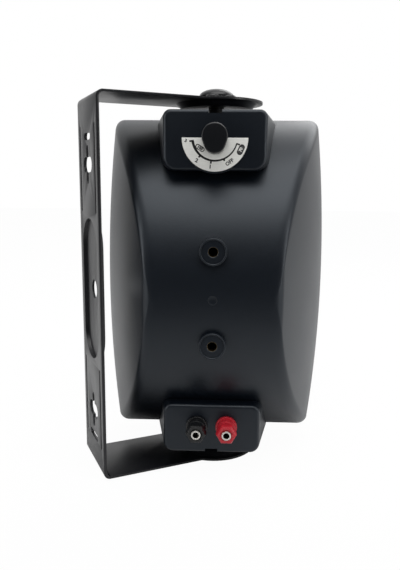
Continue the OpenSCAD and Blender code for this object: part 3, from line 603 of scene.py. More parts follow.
class SPEAKER_OT_materials(bpy.types.Operator):
    """Makes the finish of every material slot"""

    bl_idname = "speaker.materials"
    bl_label = "Materials"

    def execute(self, context):
        cabinet, grille, bracket = settings("cabinet"), settings("grille"), settings("bracket")
        dial, posts = settings("dial"), settings("posts")
        grain, cool = (cabinet.grain, cabinet.grain_depth), (0.86, 0.93, 1.0, 1.0)
        moulded(
            "cabinet_plastic", tuple(cabinet.colour), cabinet.roughness, *grain, Specular_Tint=cool
        )
        powder_coat("grille_steel", tuple(grille.colour), grille.roughness, 0.7 * MM)
        powder_coat("bracket_steel", tuple(bracket.colour), bracket.roughness, bracket.peel)
        moulded("knob_plastic", (0.003, 0.0036, 0.0052), 0.32, 0.4 * MM, 0.012 * MM)
        moulded("black_post_plastic", tuple(posts.black), 0.3, 0.6 * MM, 0.008 * MM)
        moulded("red_post_plastic", tuple(posts.red), 0.3, 0.6 * MM, 0.008 * MM)
        moulded("tweeter_plastic", (0.014, 0.014, 0.015), 0.45, 0.5 * MM, 0.02 * MM)
        moulded("rubber", (0.012, 0.012, 0.012), 0.62, 0.3 * MM, 0.012 * MM, 0.2)
        film("dial_film", tuple(dial.film))
        moulded("dial_ink", tuple(dial.ink), 0.5, 0.2 * MM, 0.003 * MM)
        turned_metal("nickel", (0.72, 0.7, 0.66), 0.22)
        turned_metal("insert_brass", (0.2, 0.15, 0.08), 0.42)
        plated_steel("zinc_steel", (0.55, 0.56, 0.58), 0.36)
        plated_steel("black_steel", (0.03, 0.03, 0.032), 0.4, 0.6)
        paper("cone_paper", (0.022, 0.021, 0.02))
        woven("spider_cloth", (0.5, 0.34, 0.14), (0.2, 0.12, 0.04), 0.5 * MM, 0.75, 0.08 * MM)
        silk, gaps = (0.03, 0.03, 0.033), (0.008, 0.008, 0.009)
        woven("dome_silk", silk, gaps, 0.25 * MM, 0.5, 0.03 * MM, 0.3)
        windings("copper", (0.55, 0.22, 0.09))
        laminate("board_laminate", (0.02, 0.11, 0.05))
        missing = SLOTS - set(bpy.data.materials.keys())
        if missing:
            raise RuntimeError(f"no finish for {sorted(missing)}")
        return {"FINISHED"}


# Cabinet


def bow(z, half_height, depth):
    """How far a side has drawn in at height z: depth times the square of z over the half height."""
    return depth * (z / half_height) ** 2


def section(width, height, radius, depth, half_height, rim_bow, sides=22, corner=8, top=14):
    """Closed sections across the cabinet, one for each entry of width, height, radius and depth.
    Half of a section runs up the right side at x = width - bow(z), round the corner arc, along the
    flat top and round the next corner. The other half is the same points turned about the Y axis by
    half a turn."""
    spread = np.broadcast_arrays(width, height, radius, depth)
    w, h, r, y = (np.atleast_1d(np.asarray(v, float))[:, None] for v in spread)
    c = h - r
    x = w - bow(c, half_height, rim_bow) - r
    z_side = c * np.linspace(-1, 1, sides + 1)[None, 1:-1]
    x_side = w - bow(z_side, half_height, rim_bow)
    a = np.linspace(0, np.pi / 2, corner + 1)[None, :]
    t = np.linspace(1, -1, top + 1)[None, 1:-1]
    half_x = np.hstack([x_side, x + r * np.cos(a), x * t, -x - r * np.sin(a)])
    half_z = np.hstack([z_side, c + r * np.sin(a), h + 0 * t, c + r * np.cos(a)])
    xs, zs = np.hstack([half_x, -half_x]), np.hstack([half_z, -half_z])
    return np.stack([xs, y + 0 * xs, zs], -1)


def side_half(y, s):
    """Half-width at depth y: from the rim to the crown it falls with a power of the distance from
    the rim, and over the last stretch it rounds off into the back as a quarter of an ellipse."""
    t = np.clip((y - RIM_Y) / (CROWN_Y - RIM_Y), 0, 1)
    u = np.clip(1 - (CROWN_Y - y) / (0.7 * s.edge), 0, 1)
    drawn_in = (s.rim_half - s.crown_half) * t**s.side_power
    return s.rim_half - drawn_in - s.edge * (1 - np.sqrt(1 - u * u))


def cabinet_sections(s, inset):
    """The barrel back as sections from the rim to the crown. In side view the back is an arc: its
    depth falls short of the crown by R (1 - cos a) and its half height is R sin a, for angles a
    down to nearly 0."""
    deep = CROWN_Y - SHOULDER_Y
    radius = (s.half_height**2 + deep**2) / (2 * deep)
    full, r0 = s.half_height - inset, radius - inset
    turn = math.asin(full / r0)
    angles = np.concatenate([np.linspace(turn, 0.14, 46), np.linspace(0.12, 0.006, 9)])
    y = CROWN_Y - radius + r0 * np.cos(angles)
    h = r0 * np.sin(angles)
    w = side_half(y + inset * np.cos(angles), s) - 1.1 * inset
    start = RIM_Y - (0.5 * MM if inset else 0)
    y = np.concatenate([[start], y])
    h = np.concatenate([[full], h])
    w = np.concatenate([[s.rim_half - inset], w])
    r = np.minimum(max(2 * MM, s.corner - inset), 0.75 * h)
    return section(w, h, r, y, s.half_height, s.rim_bow)


def boss_sections(s, low, end, side, inner_corner, outer_corner):
    """A boss as rounded rectangles that widen with depth by its draft. Its outer side slants from
    the swivel in to the face. Near the face the outline shrinks along a quarter circle, which
    rounds the edge."""
    turn = np.linspace(0, np.pi / 2, 7)
    edge_y = BOSS_Y - s.boss_soft * (1 - np.sin(turn))
    y = np.concatenate([[SHOULDER_Y + MM, PIVOT_Y], edge_y])[:, None]
    soft = np.concatenate([[0, 0], s.boss_soft * (1 - np.cos(turn))])[:, None]
    w = s.boss_half + (BOSS_Y - y) * math.tan(BOSS_DRAFT) - soft
    inner, outer = inner_corner - soft, outer_corner - soft
    slant = (BOSS_TOP - end) * np.minimum(1, (BOSS_Y - y) / (BOSS_Y - PIVOT_Y))
    low, high = low + soft, end + slant - soft
    a = np.linspace(0, np.pi / 2, 11)[None, :]
    x = np.hstack([
        w - outer + outer * np.cos(a), outer - w - outer * np.sin(a),
        inner - w - inner * np.cos(a), w - inner + inner * np.sin(a),
    ])
    z = np.hstack([
        high - outer + outer * np.sin(a), high - outer + outer * np.cos(a),
        low + inner - inner * np.sin(a), low + inner - inner * np.cos(a),
    ])
    return np.stack([x, y + 0 * x, side * z], -1)


def dial_lip_sections():
    """The lip under the dial: the part of a disc below a chord, its front edge rounded."""
    radius, chord = 21.9 * MM, 94.3 * MM - DIAL_Z
    soft = np.array([0, 0, 0.15, 0.6])[:, None] * MM
    y = np.array([-31.7, -18.3, -17.9, -17.7])[:, None] * MM
    start = math.asin(chord / radius)
    a = np.linspace(start, -math.pi - start, 40)[None, :]
    x, z = (radius - soft) * np.cos(a), DIAL_Z + (radius - soft) * np.sin(a)
    return np.stack([x, y + 0 * x, z], -1)


def ring_profile():
    """The raised ring round an insert, as radius and height: a rim rounded by half a circle, and a
    floor that rises a little to the middle."""
    turn = np.linspace(0, np.pi, 13)
    rim = np.stack([8 + 0.7 * np.cos(turn), 0.1 + 0.7 * np.sin(turn)], -1)
    return np.array([(0, -14), (8.7, -14), *rim, (7.2, 0.18), (4.6, 0.3), (0, 0.3)]) * MM


def end_cuts(side, inner, outer):
    """What is cut from one end of the back, side being 1 at the top and -1 at the bottom: the
    insert's seat with a narrower mouth, the bore and the groove of the swivel, and the hollow of
    the boss."""
    mouth = [(0, -12), (4.6, -12), (4.6, 0.02), (3.2, 0.02), (3.2, 0.1), (3.6, 0.4), (0, 0.4)]
    end = side * BOSS_TOP
    near, far = sorted((side * (outer - 2.5 * MM), end + side * 2 * MM))
    low, high = sorted((side * (inner + 3 * MM), side * (outer - 16 * MM)))
    hollow_back, hollow_front = PIVOT_Y + 16 * MM, BOSS_Y - 3 * MM
    return [
        turned("mouth", np.array(mouth) * MM, (0, 0, side * INSERT_Z), "y", 48),
        pin("pivot_bore", 5.6 * MM, end - side * 12 * MM, end + side * MM, 48),
        block("groove", (-GROOVE, PIVOT_Y + 24 * MM, near), (GROOVE, 2 * MM, far)),
        block("boss_hollow", (-26 * MM, hollow_back, low), (26 * MM, hollow_front, high)),
    ]


class SPEAKER_OT_cabinet(bpy.types.Operator):
    """Builds the rear cabinet with its bosses, rings, grooves and holes"""

    bl_idname = "speaker.cabinet"
    bl_label = "Rear cabinet"

    def execute(self, context):
        s = settings("cabinet")
        shell = loft("rear_cabinet_finish", cabinet_sections(s, 0))
        ring = ring_profile()
        added = [
            loft("boss_upper", boss_sections(s, BOSS_LOW, BOSS_TOP, 1, 8.5 * MM, 5 * MM)),
            loft("boss_lower", boss_sections(s, LOWER_LOW, LOWER_END, -1, 5.5 * MM, 6.5 * MM)),
            loft("dial_lip", dial_lip_sections()),
            turned("ring_upper", ring, (0, 0, INSERT_Z), "y", 72),
            turned("ring_lower", ring, (0, 0, -INSERT_Z), "y", 72),
            pin("sleeve_upper", SLEEVE_R, BOSS_TOP - SLEEVE, BOSS_TOP),
            pin("sleeve_lower", SLEEVE_R, -BOSS_TOP, SLEEVE - BOSS_TOP),
        ]
        combined(shell, added, "UNION")
        cuts = [loft("hollow", cabinet_sections(s, s.wall))]
        for side, inner, outer in ((1, BOSS_LOW, BOSS_TOP), (-1, LOWER_LOW, LOWER_END)):
            cuts.extend(end_cuts(side, inner, outer))
        through = (BOSS_Y - 5 * MM, BOSS_Y + MM)
        for x in (-POST_X, POST_X):
            cuts.append(rod("post_hole", POST_HOLE, *through, x, POST_Z, 40))
        cuts.append(rod("selector_hole", SHAFT_HOLE, *through, 0, DIAL_Z, 40))
        dimple = [(0, -1.4), (2.3, -1.4), (2.9, -1.1), (3.1, 1), (0, 1)]
        cuts.append(turned("dimple", np.array(dimple) * MM, (0, 0, -0.5 * MM), "y", 40))
        combined(shell, cuts, "DIFFERENCE")
        shaded(shell, 32)
        fitted(shell, "cabinet_plastic", "cabinet", "rear_cabinet")
        return {"FINISHED"}


# Baffle and grille


class SPEAKER_OT_baffle(bpy.types.Operator):
    """Builds the front moulding that holds the drivers and the grille"""

    bl_idname = "speaker.baffle"
    bl_label = "Front baffle"

    def execute(self, context):
        s = settings("cabinet")
        t = np.linspace(1, 0, 15)
        draw_in, fullness = 8 * MM, 0.9
        inset = draw_in * (1 - np.sqrt(1 - fullness * t * t)) / (1 - math.sqrt(1 - fullness))
        depth = BAFFLE_BACK + (BAFFLE_FRONT - BAFFLE_BACK) * t
        shape = (s.half_height, s.rim_bow)
        skin = section(s.rim_half - inset, s.half_height - inset, s.corner, depth, *shape)
        front = loft("front_baffle_finish", skin)
        cuts = []
        border = 10.5 * MM
        half_width, half_height = s.rim_half - border, s.half_height - border
        for ends in ((BAFFLE_FRONT - MM, PLATE_Y), (PLATE_Y + 4 * MM, BAFFLE_BACK + MM)):
            inner = section(half_width, half_height, 5 * MM, np.array(ends), *shape)
            cuts.append(loft("recess", inner))
        for radius, z in ((WOOFER_HOLE, WOOFER_Z), (TWEETER_HOLE, TWEETER_Z)):
            cuts.append(rod("driver_hole", radius, PLATE_Y - MM, PLATE_Y + 5 * MM, 0, z, 96))
        combined(front, cuts, "DIFFERENCE")
        shaded(front, 32)
        fitted(front, "cabinet_plastic", "cabinet", "front_baffle")
        return {"FINISHED"}


def grille_front(x, g):
    """Depth of the grille's face at x: a cylinder about an upright axis, as deep as its bow over
    the half width."""
    radius = (g.half_width**2 + g.bow**2) / (2 * g.bow)
    return BAFFLE_FRONT - g.bow + radius - np.sqrt(radius**2 - x * x)


def perforated(g, s):
    """The perforated field: rectangular cells of eight outer points and a hole of eight points,
    every other row moved by half a pitch, so that the corners of one row meet the middles of the
    next."""
    pitch, rise = g.pitch, g.pitch * 0.866
    columns = int(g.half_width / pitch) + 2
    rows = int(g.half_height / rise) + 1
    i, j = np.meshgrid(np.arange(-columns, columns + 1), np.arange(-rows, rows + 1), indexing="ij")
    x, z = (i + 0.5 * (j % 2)) * pitch, j * rise
    reach = 2.2 * MM
    within = np.abs(x) < g.half_width - reach - bow(z, s.half_height, s.rim_bow)
    inside = within & (np.abs(z) < g.half_height - reach)
    x, z = x[inside][:, None], z[inside][:, None]
    k = np.arange(8)[None, :]
    outer_x = np.array([1, 1, 0, -1, -1, -1, 0, 1]) * pitch / 2
    outer_z = np.array([0, 1, 1, 1, 0, -1, -1, -1]) * rise / 2
    hole_x, hole_z = g.hole / 2 * np.cos(k * np.pi / 4), g.hole / 2 * np.sin(k * np.pi / 4)
    px = np.hstack([x + outer_x, x + hole_x])
    pz = np.hstack([z + outer_z, z + hole_z])
    points = np.stack([px, grille_front(px, g) + 0.12 * MM, pz], -1)
    cell = 16 * np.arange(len(x))[:, None]
    quads = np.stack([cell + k, cell + (k + 1) % 8, cell + 8 + (k + 1) % 8, cell + 8 + k], -1)
    return points, quads.reshape(-1, 4)


def grille_border(g, s):
    """The border and the folded edge: a closed strip section carried round the outline of the
    grille. The section is given as inset from the outline and distance from the face or from the
    back edge."""
    bend = np.radians(np.linspace(0, 90, 6))
    round_out = [(1.6 * (1 - math.sin(a)), 1.6 * (1 - math.cos(a))) for a in bend]
    round_in = [(1 + 0.6 * (1 - math.sin(a)), 1 + 0.6 * (1 - math.cos(a))) for a in bend[::-1]]
    face = [(g.border / MM, 0)] + round_out
    back = round_in + [(g.border / MM, 1)]
    section_mm = np.array(face + [(0, -1), (1, -1)] + back)
    rings = []
    for inset, drop in section_mm * MM:
        size = (g.half_width - inset, g.half_height - inset, 5 * MM)
        ring = section(*size, 0, s.half_height, s.rim_bow)[0]
        ring[:, 1] = PLATE_Y if drop < 0 else grille_front(ring[:, 0], g) + drop
        rings.append(ring)
    return np.array(rings)


class SPEAKER_OT_grille(bpy.types.Operator):
    """Builds the bowed perforated grille with its plain border and folded edge"""

    bl_idname = "speaker.grille"
    bl_label = "Grille"

    def execute(self, context):
        g, s = settings("grille"), settings("cabinet")
        field = piece("grille_field", *perforated(g, s))
        bm = bmesh.new()
        bm.from_mesh(field.data)
        if sum(f.normal.y for f in bm.faces) > 0:
            bmesh.ops.reverse_faces(bm, faces=bm.faces)
        bm.to_mesh(field.data)
        bm.free()
        thick = field.modifiers.new("sheet", "SOLIDIFY")
        thick.thickness, thick.offset = g.sheet, -1
        shaded(baked(field), 50)
        fitted(field, "grille_steel", "cabinet", "grille")
        rings = grille_border(g, s)
        border = piece("grille_border", rings, grid_faces(*rings.shape[:2], wrap_rows=True))
        shaded(border, 40)
        fitted(border, "grille_steel", "cabinet", "grille")
        return {"FINISHED"}


# Bracket and swivel


class SPEAKER_OT_bracket(bpy.types.Operator):
    """Finishes the folded bracket with soft sheared edges"""

    bl_idname = "speaker.bracket"
    bl_label = "Bracket"

    def execute(self, context):
        b = settings("bracket")
        fitted(softened("bracket", b.edge), "bracket_steel", "bracket", "bracket")
        return {"FINISHED"}


class SPEAKER_OT_swivel(bpy.types.Operator):
    """Finishes the clamp knob, spacers, washer and bolt"""

    bl_idname = "speaker.swivel"
    bl_label = "Swivel hardware"

    def execute(self, context):
        fitted(shaded(clamp_head(), 50), "knob_plastic", "clamp", "clamp_knob")
        for node, edge, slot in (("bolt", 0.2, "black_steel"), ("washer", 0.15, "zinc_steel")):
            node = "bottom_" + node
            fitted(softened(node, edge * MM), slot, frame["nodes"][node]["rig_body"], node)
        return {"FINISHED"}


def clamp_head():
    """The clamp knob: a hub in the dish, five lobes whose radius follows the cosine of five times
    the angle, and a dome that rises over them as a quarter ellipse."""
    under, arm, top = 124.2 * MM, 128.1 * MM, 136.6 * MM
    hub, lobe_radius, swing, dome_radius = 8.5 * MM, 13.2 * MM, 1.8 * MM, 12.2 * MM
    angle = np.linspace(0, 2 * np.pi, 120, endpoint=False)[None, :]
    wave = np.clip(np.cos(5 * angle - math.radians(20)), -0.75, 0.9) / 0.9
    lobe = lobe_radius + swing * wave
    rise = np.radians([0, 12, 25, 38, 50, 62, 74, 84])[:, None]
    dome = dome_radius * np.cos(rise) + 0 * angle
    dome_foot = arm + 3.5 * MM
    dome_height = (dome_foot + (top - dome_foot) * np.sin(rise))[:, 0]
    lobes = [(0.94, arm), (1, arm + 0.8 * MM), (1, arm + 2.6 * MM), (0.96, arm + 3.4 * MM)]
    radius = np.vstack([np.full((2, 120), hub), *[lobe * f for f, z in lobes], dome])
    z = np.concatenate([[under, arm], [z for f, z in lobes], dome_height])[:, None] + 0 * angle
    x, y = radius * np.cos(angle), PIVOT_Y + radius * np.sin(angle)
    return loft("clamp_knob_finish", np.stack([x, y, z], -1))


# Tap selector


def on_dial(u, v, y):
    """A point of the dial's layout in the row frame: u to the viewer's right, which is -X, and v up
    from the centre."""
    u, v = np.asarray(u, float), np.asarray(v, float)
    return np.stack([-u, y + 0 * u, DIAL_Z + v], -1)


def print_strip(name, inner, outer, thickness=0.05 * MM):
    """A flat printed shape between two lines of points in the layout, as a thin closed strip. The
    section across the strip is a rectangle: both lines at the film and both lines at the top of the
    ink."""
    y0, y1 = DIAL_FRONT - 0.02 * MM, DIAL_FRONT + thickness
    rings = [on_dial(inner[:, 0], inner[:, 1], y0), on_dial(outer[:, 0], outer[:, 1], y0),
             on_dial(outer[:, 0], outer[:, 1], y1), on_dial(inner[:, 0], inner[:, 1], y1)]
    points = np.stack(rings, 1)
    count = len(inner)
    caps = [[0, 1, 2, 3], [4 * (count - 1) + k for k in (3, 2, 1, 0)]]
    return piece(name, points, grid_faces(count, 4).tolist() + caps)


def arc_line(radius, width, start, end, steps=48):
    """Two edges of an arc: angles run from straight down to the viewer's right, and width may
    change along it."""
    a = np.radians(np.linspace(start, end, steps))
    w = np.linspace(width[0], width[1], steps) / 2
    direction = np.stack([np.sin(a), -np.cos(a)], -1)
    return direction * (radius - w)[:, None], direction * (radius + w)[:, None]


def bar(angle, r0, r1, width):
    """Two edges of a short bar that points outwards at an angle."""
    a = math.radians(angle)
    out, across = np.array([math.sin(a), -math.cos(a)]), np.array([math.cos(a), math.sin(a)])
    ends = np.array([r0, r1])[:, None] * out
    return ends - across * width / 2, ends + across * width / 2


def pill(centre, half_length, half_width, turn, line=None, steps=12):
    """Edges of a pill outline of one line width, or of a filled pill when line is None."""
    a = np.linspace(-np.pi / 2, np.pi / 2, steps)
    straight = half_length - half_width

    def outline(w):
        x = np.concatenate([straight + w * np.cos(a), -straight - w * np.cos(a)])
        y = np.concatenate([w * np.sin(a), -w * np.sin(a)])
        c, d = math.cos(math.radians(turn)), math.sin(math.radians(turn))
        points = np.stack([x * c - y * d, x * d + y * c], -1) + np.array(centre)
        return np.vstack([points, points[:1]])

    outer = outline(half_width)
    if line is None:
        return np.repeat(np.array([centre], float), len(outer), 0), outer
    return outline(half_width - line), outer


def lettering(name, words, centre, height, turn, material, lift=0.05 * MM, bold=0.11 * MM):
    """Plain figures as a thin mesh: the text is centred, turned in the layout and laid on the
    film."""
    curve = bpy.data.curves.new(name, "FONT")
    curve.body, curve.size = words, height / 0.69
    curve.align_x, curve.align_y = "CENTER", "CENTER"
    curve.extrude, curve.resolution_u, curve.offset = 0.03 * MM, 4, bold
    holder = placed(name, curve)
    bpy.context.view_layer.update()
    graph = bpy.context.evaluated_depsgraph_get()
    mesh = bpy.data.meshes.new_from_object(holder.evaluated_get(graph))
    bpy.data.objects.remove(holder)
    x, y, z = on_dial(centre[0], centre[1], DIAL_FRONT + lift - 0.02 * MM)
    layout = Matrix(((-1, 0, 0, x), (0, 0, 1, y), (0, 1, 0, z), (0, 0, 0, 1)))
    mesh.transform(layout @ Matrix.Rotation(math.radians(turn), 4, "Z"))
    tidy(mesh)
    return fitted(placed(name, mesh), material, "cabinet")


class SPEAKER_OT_selector(bpy.types.Operator):
    """Builds the dial film, its print and the selector's knob"""

    bl_idname = "speaker.selector"
    bl_label = "Tap selector"

    def execute(self, context):
        d = settings("dial")
        fitted(softened("dial_plate", 0.12 * MM), "dial_film", "cabinet", "dial_plate")
        r = d.scale_radius
        low_tag, high_tag = on_scale(-56, 11.2 * MM), on_scale(66, 17.7 * MM)
        shapes = {
            "print_scale": arc_line(r, (1.6 * MM, 0.75 * MM), -82, 75),
            "print_start": bar(-82, r - 0.6 * MM, r + 2.1 * MM, 1.0 * MM),
            "print_end": bar(75, r - 0.3 * MM, r + 2.1 * MM, 0.95 * MM),
            "print_tick_two": bar(-40, r, r + 1.7 * MM, 1.0 * MM),
            "print_tick_one": bar(-9, r, r + 2.0 * MM, 1.0 * MM),
            "print_dot": pill(on_scale(23.5, r + 0.8 * MM), 0.62 * MM, 0.619 * MM, 0),
            "print_tag_inner": pill(low_tag, 3.15 * MM, 1.5 * MM, -33, 0.5 * MM),
            "print_tag_outer": pill(high_tag, 3.4 * MM, 1.8 * MM, 66),
        }
        for name, (inner, outer) in shapes.items():
            fitted(shaded(print_strip(name, inner, outer), 30), "dial_ink", "cabinet")
        h, ink = d.letter, "dial_ink"
        lettering("print_three", "3", on_scale(-84, 18.3 * MM), h * 0.85, -20, ink)
        lettering("print_two", "2", on_scale(-39, 18.0 * MM), h, -22, ink)
        lettering("print_one", "1", on_scale(-9, 18.0 * MM), h, -5, ink)
        lettering("print_off", "OFF", on_scale(32, 17.6 * MM), h * 0.95, 36, ink)
        lettering("print_tag_inner_figures", "100", low_tag, h * 0.7, -33, ink)
        on_ink = 0.09 * MM
        lettering("print_tag_outer_figures", "70", high_tag, h * 0.75, 66, "dial_film", on_ink)
        knob = loft("tap_knob_finish", knob_sections(d))
        fitted(shaded(knob, 35), "knob_plastic", "tap", "tap_knob")
        return {"FINISHED"}


def knob_sections(d):
    """The knob as egg-shaped sections: the hull of a circle and of a smaller one below it, which
    makes a blunt pointer. Each point lies on the circle that reaches further in its direction. The
    end's edge is rounded."""
    base, end, soft = -16.6 * MM, -1.6 * MM, 0.8 * MM
    turn = np.linspace(0, np.pi / 2, 6)
    y = np.concatenate([[base, base + 0.4 * MM], end - soft * (1 - np.sin(turn))])[:, None]
    less = np.concatenate([[0.3 * MM, 0], soft * (1 - np.cos(turn))])[:, None]
    a = np.linspace(0, 2 * np.pi, 96, endpoint=False)[None, :]
    nose, nose_z = 6.6 * MM, -3.6 * MM
    lower = nose_z * np.sin(a) + nose > d.knob
    x = (np.where(lower, nose, d.knob) - less) * np.cos(a)
    z = (np.where(lower, nose, d.knob) - less) * np.sin(a) + np.where(lower, nose_z, 0)
    return np.stack([x, y + 0 * x, DIAL_Z + z], -1)


def on_scale(angle, radius):
    """A layout point at an angle from straight down to the viewer's right, and at a radius from the
    centre."""
    a = math.radians(angle)
    return (radius * math.sin(a), -radius * math.cos(a))


# Binding posts


class SPEAKER_OT_posts(bpy.types.Operator):
    """Finishes the two binding posts"""

    bl_idname = "speaker.posts"
    bl_label = "Binding posts"

    def execute(self, context):
        for colour in ("black", "red"):
            slot, cap, base = f"{colour}_post_plastic", f"{colour}_post_cap", f"{colour}_post_base"
            x = POST_X if colour == "black" else -POST_X
            fitted(shaded(post_cap(cap, x), 28), slot, f"{colour}_cap", cap)
            fitted(softened(base, 0.25 * MM), slot, "cabinet", base)
        fitted(softened("post_tubes", 0.2 * MM, 3), "nickel", "cabinet", "post_tubes")
        return {"FINISHED"}


def post_cap(name, x):
    """The screw cap: a round skirt and a hexagon grip with chamfered ends, round a recess for the
    tube. A ring gives its y, and the radius of a circle or the scale of the hexagon, whose radius
    is the half width over the cosine of the angle from the nearest flat."""
    p = settings("posts")
    skirt, half, bore = p.skirt, p.flats / 2, p.tube + 0.05 * MM
    a = np.linspace(0, 2 * np.pi, 96, endpoint=False)
    hexagon = half / np.cos(a % (np.pi / 3) - np.pi / 6)
    rings = [
        (-15.1, bore, 0), (-15.1, skirt - 0.4 * MM, 0), (-14.7, skirt, 0), (-11.2, skirt, 0),
        (-10.5, skirt - 0.5 * MM, 0), (-10.1, half - 0.3 * MM, 0), (-9.7, 0, 0.93), (-9.1, 0, 1),
        (-4.3, 0, 1), (-4.1, 0, 0.985), (-3.1, 0, 0.88), (-3.0, 0, 0.85),
        (-3.0, bore + 1.0 * MM, 0), (-3.5, bore + 0.5 * MM, 0), (-3.6, bore, 0),
    ]
    y, circle, scale = np.array(rings)[:, :, None].swapaxes(0, 1)
    radius = np.where(scale > 0, hexagon * scale, circle)
    places = [x + radius * np.cos(a), y * MM + 0 * radius, POST_Z + radius * np.sin(a)]
    return piece(name + "_finish", np.stack(places, -1), grid_faces(len(rings), 96, wrap_rows=True))


# Drivers


class SPEAKER_OT_drivers(bpy.types.Operator):
    """Builds the woofer's surround and spider, which bend as the cone moves"""

    bl_idname = "speaker.drivers"
    bl_label = "Drivers"

    def execute(self, context):
        land, roll, middle, thick = -2.6 * MM, 3.5 * MM, 49.5 * MM, 0.6 * MM
        centre = (0, PLATE_Y, WOOFER_Z)
        a = np.linspace(0, np.pi, 25)[:, None]
        arc = np.hstack([np.cos(a), -np.sin(a)])
        outer = (middle, land) + roll * arc
        inner = (middle, land + thick) + (roll - thick) * arc[::-1]
        outside, inside = 55 * MM, 43.5 * MM
        rim = [(outside, land + thick), (outside, land)]
        neck = [(inside, land), (inside, land + thick)]
        profile = [*rim, *outer, *neck, *inner]
        surround = turned("woofer_surround_finish", profile, centre, "y", 128, closed=True)
        ends = (52.5 * MM, 46.3 * MM, -3 * MM)
        flexing(shaded(surround, 50), "rubber", "woofer_surround", *ends)
        radius = np.linspace(12.7 * MM, 29.5 * MM, 61)
        wave = np.sin((radius - 13.5 * MM) / (2.4 * MM) * 2 * np.pi)
        under = np.stack([radius, 24.5 * MM + 0.35 * MM * wave], -1)
        profile = np.vstack([under, (under + (0, 0.5 * MM))[::-1]])
        spider = turned("spider_finish", profile, centre, "y", 96, closed=True)
        flexing(shaded(spider, 50), "spider_cloth", "spider", 29 * MM, 13.2 * MM, 24 * MM)
        return {"FINISHED"}


def flexing(obj, slot, node, fixed, moving, depth):
    """A round piece that stays on the cabinet at its outer radius and follows the cone at its inner
    one. It is cut into twelve sectors, because a blend runs along one straight line."""
    mesh = obj.data
    count = 12
    co = np.empty(len(mesh.vertices) * 3)
    mesh.vertices.foreach_get("co", co)
    co = co.reshape(-1, 3)
    polygons = [list(p.vertices) for p in mesh.polygons]
    middle = np.array([co[p].mean(0) for p in polygons])
    turn = np.arctan2(middle[:, 2] - WOOFER_Z, middle[:, 0]) % (2 * np.pi)
    sector = np.minimum((turn / (2 * np.pi) * count).astype(int), count - 1)
    for k in range(count):
        mine = [p for p, which in zip(polygons, sector) if which == k]
        used = np.unique(np.concatenate(mine))
        index = {v: n for n, v in enumerate(used)}
        part_mesh = bpy.data.meshes.new(f"{node}_{k}")
        part_mesh.from_pydata(co[used].tolist(), [], [[index[v] for v in p] for p in mine])
        part = placed(f"{node}_part_{k:02d}", part_mesh)
        shaded(part, 50)
        part.data.materials.append(bpy.data.materials[slot])
        angle = (k + 0.5) * 2 * np.pi / count
        across = np.array([math.cos(angle), 0, math.sin(angle)])
        centre = np.array([0, PLATE_Y + depth, WOOFER_Z])
        start, stop = tuple(centre + across * fixed), tuple(centre + across * moving)
        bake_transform(part)
        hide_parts(node)
    bpy.data.objects.remove(obj)


# Studio


def camera_axes():
    """Right, up and forward of the camera from its turn about Z, its tilt down and its roll."""
    yaw, pitch, roll = CAMERA_TURNS
    level = math.cos(pitch)
    forward = np.array([-math.sin(yaw) * level, -math.cos(yaw) * level, -math.sin(pitch)])
    right = np.array([-math.cos(yaw), math.sin(yaw), 0.0])
    up = np.cross(right, forward)
    c, s = math.cos(roll), math.sin(roll)
    return c * right + s * up, c * up - s * right, forward


class SPEAKER_OT_stage(bpy.types.Operator):
    """Sets the floor, the white surround, the soft lights and the camera"""

    bl_idname = "speaker.stage"
    bl_label = "Stage"

    def execute(self, context):
        s = settings("studio")
        scene = context.scene
        scene.view_settings.view_transform = "Standard"
        side = np.array([-4.0, 4.0])
        x, y = np.meshgrid(side, side, indexing="ij")
        floor = piece("floor", np.stack([x, y, np.full_like(x, FLOOR_Z)], -1), [[0, 2, 3, 1]])
        if floor.data.polygons[0].normal.z < 0:
            floor.data.flip_normals()
        floor.data.materials.append(floor_finish(tuple(s.floor)))
        scene.world = surround(s.fill)
        right, up, forward = camera_axes()
        data = bpy.data.cameras.new("camera")
        data.lens, data.sensor_width = s.lens, 36
        camera = placed("camera", data)
        camera.matrix_world = placing(right, up, -forward, CAMERA_PLACE)
        scene.camera = camera
        lamp("light_top", s.key, (-0.12, 0.34, 0.95), (0, -0.03, 0.03), (1.1, 0.85))
        lamp("light_left", s.side, (0.9, 0.5, 0.15), (0, -0.05, 0), (0.3, 0.9))
        lamp("light_right", s.side, (-0.9, 0.5, 0.15), (0, -0.05, 0), (0.3, 0.9))
        lamp("light_back", s.side, (-0.5, -0.75, 0.75), (0, -0.05, 0.05), (0.9, 0.6))
        return {"FINISHED"}


def lamp(name, power, place, aim, size):
    """A rectangular soft light that faces a point."""
    data = bpy.data.lights.new(name, "AREA")
    data.shape, data.energy = "RECTANGLE", power
    data.size, data.size_y = size
    obj = placed(name, data)
    back = np.array(place, float) - np.array(aim, float)
    back /= np.linalg.norm(back)
    across = np.cross((0, 0, 1), back)
    across /= np.linalg.norm(across)
    up = np.cross(back, across)
    obj.matrix_world = placing(across, up, back, place)


def placing(x, y, z, place):
    """The matrix of an object whose own axes point along x, y and z."""
    return Matrix(np.vstack([np.column_stack([x, y, z, place]), [0, 0, 0, 1]]).tolist())


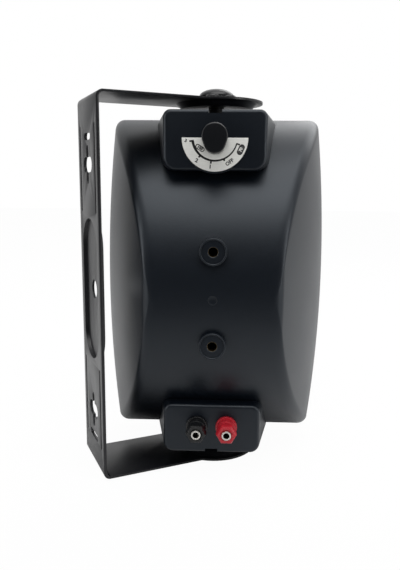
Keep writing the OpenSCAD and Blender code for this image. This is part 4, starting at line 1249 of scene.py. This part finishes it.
def floor_finish(colour):
    """A matt white floor that melts into the white surround for the camera, and in reflections
    where it lies behind the object. It still takes and shows a soft shadow."""
    f = Finish("floor_paper")
    mottled = f.noise(30.0, 3.0, 0.6)
    tone = f.blend(mottled, scaled(colour, 0.985), colour)
    near = f.along("Y").ramp(-0.08, 0.4)
    tone = f.blend(near, tone, scaled(colour, 0.14))
    matt = f.node("ShaderNodeBsdfDiffuse", None, {"Color": tone, "Roughness": 0.5})
    glow = f.node("ShaderNodeEmission", None, {"Color": (1, 1, 1, 1), "Strength": 1.0})
    behind = f.along("Y").ramp(-0.1, -0.5)
    mirrored = f.rays("Glossy", "Transmission").least(1.0) * behind * 0.75
    glowing = (f.rays("Camera") * 0.97).most(mirrored)
    mixed = f.node("ShaderNodeMixShader", None, {0: glowing, 1: matt, 2: glow})
    f.node("ShaderNodeOutputMaterial", None, {"Surface": mixed})
    return f.owner


def surround(level):
    """White to the camera, and nearly white behind the object for light, metal and glass. It is dim
    behind the camera and towards the sides, and rises again overhead."""
    f = Finish("surround", "world")
    place = f.node("ShaderNodeTexCoord", output="Generated")
    behind = f.along("Y", place).ramp(0.35, -0.15)
    over = f.along("Z", place).ramp(0.3, 0.9)
    across = f.along("X", place)
    left, right = across.ramp(0.35, 0.9) * 0.5, across.ramp(-0.35, -0.9) * 0.25
    behind = behind * (1 - left) * (1 - right)
    strength = behind.most(over * 0.8) * (1 - level) + level
    strength = f.rays("Camera", "Transmission").least(1.0).most(strength)
    background = f.node("ShaderNodeBackground", None, {"Color": (1, 1, 1, 1), "Strength": strength})
    f.node("ShaderNodeOutputWorld", None, {"Surface": background})
    return f.owner


class SPEAKER_PT_panel(bpy.types.Panel):
    """Lists the pieces of the speaker"""

    bl_idname = "SPEAKER_PT_panel"
    bl_label = "Wall speaker"
    bl_space_type = "VIEW_3D"
    bl_region_type = "UI"
    bl_category = "Speaker"

    def draw(self, context):
        for step in STEPS:
            self.layout.operator(step.bl_idname)


STEPS = (
    SPEAKER_OT_materials,
    SPEAKER_OT_cabinet,
    SPEAKER_OT_baffle,
    SPEAKER_OT_grille,
    SPEAKER_OT_bracket,
    SPEAKER_OT_swivel,
    SPEAKER_OT_selector,
    SPEAKER_OT_posts,
    SPEAKER_OT_drivers,
    SPEAKER_OT_stage,
)
GROUPS = {
    "cabinet": SpeakerCabinetSettings,
    "grille": SpeakerGrilleSettings,
    "bracket": SpeakerBracketSettings,
    "dial": SpeakerDialSettings,
    "posts": SpeakerPostSettings,
    "studio": SpeakerStudioSettings,
}


def register():
    for group in (*GROUPS.values(), *STEPS, SPEAKER_PT_panel):
        bpy.utils.register_class(group)
    for name, group in GROUPS.items():
        setattr(bpy.types.Scene, "speaker_" + name, PointerProperty(type=group))


def unregister():
    for name in GROUPS:
        delattr(bpy.types.Scene, "speaker_" + name)
    for group in reversed((*GROUPS.values(), *STEPS, SPEAKER_PT_panel)):
        bpy.utils.unregister_class(group)


def main():
    register()
    for step in STEPS:
        family, name = step.bl_idname.split(".")
        getattr(getattr(bpy.ops, family), name)()


if __name__ == "__main__":
    main()
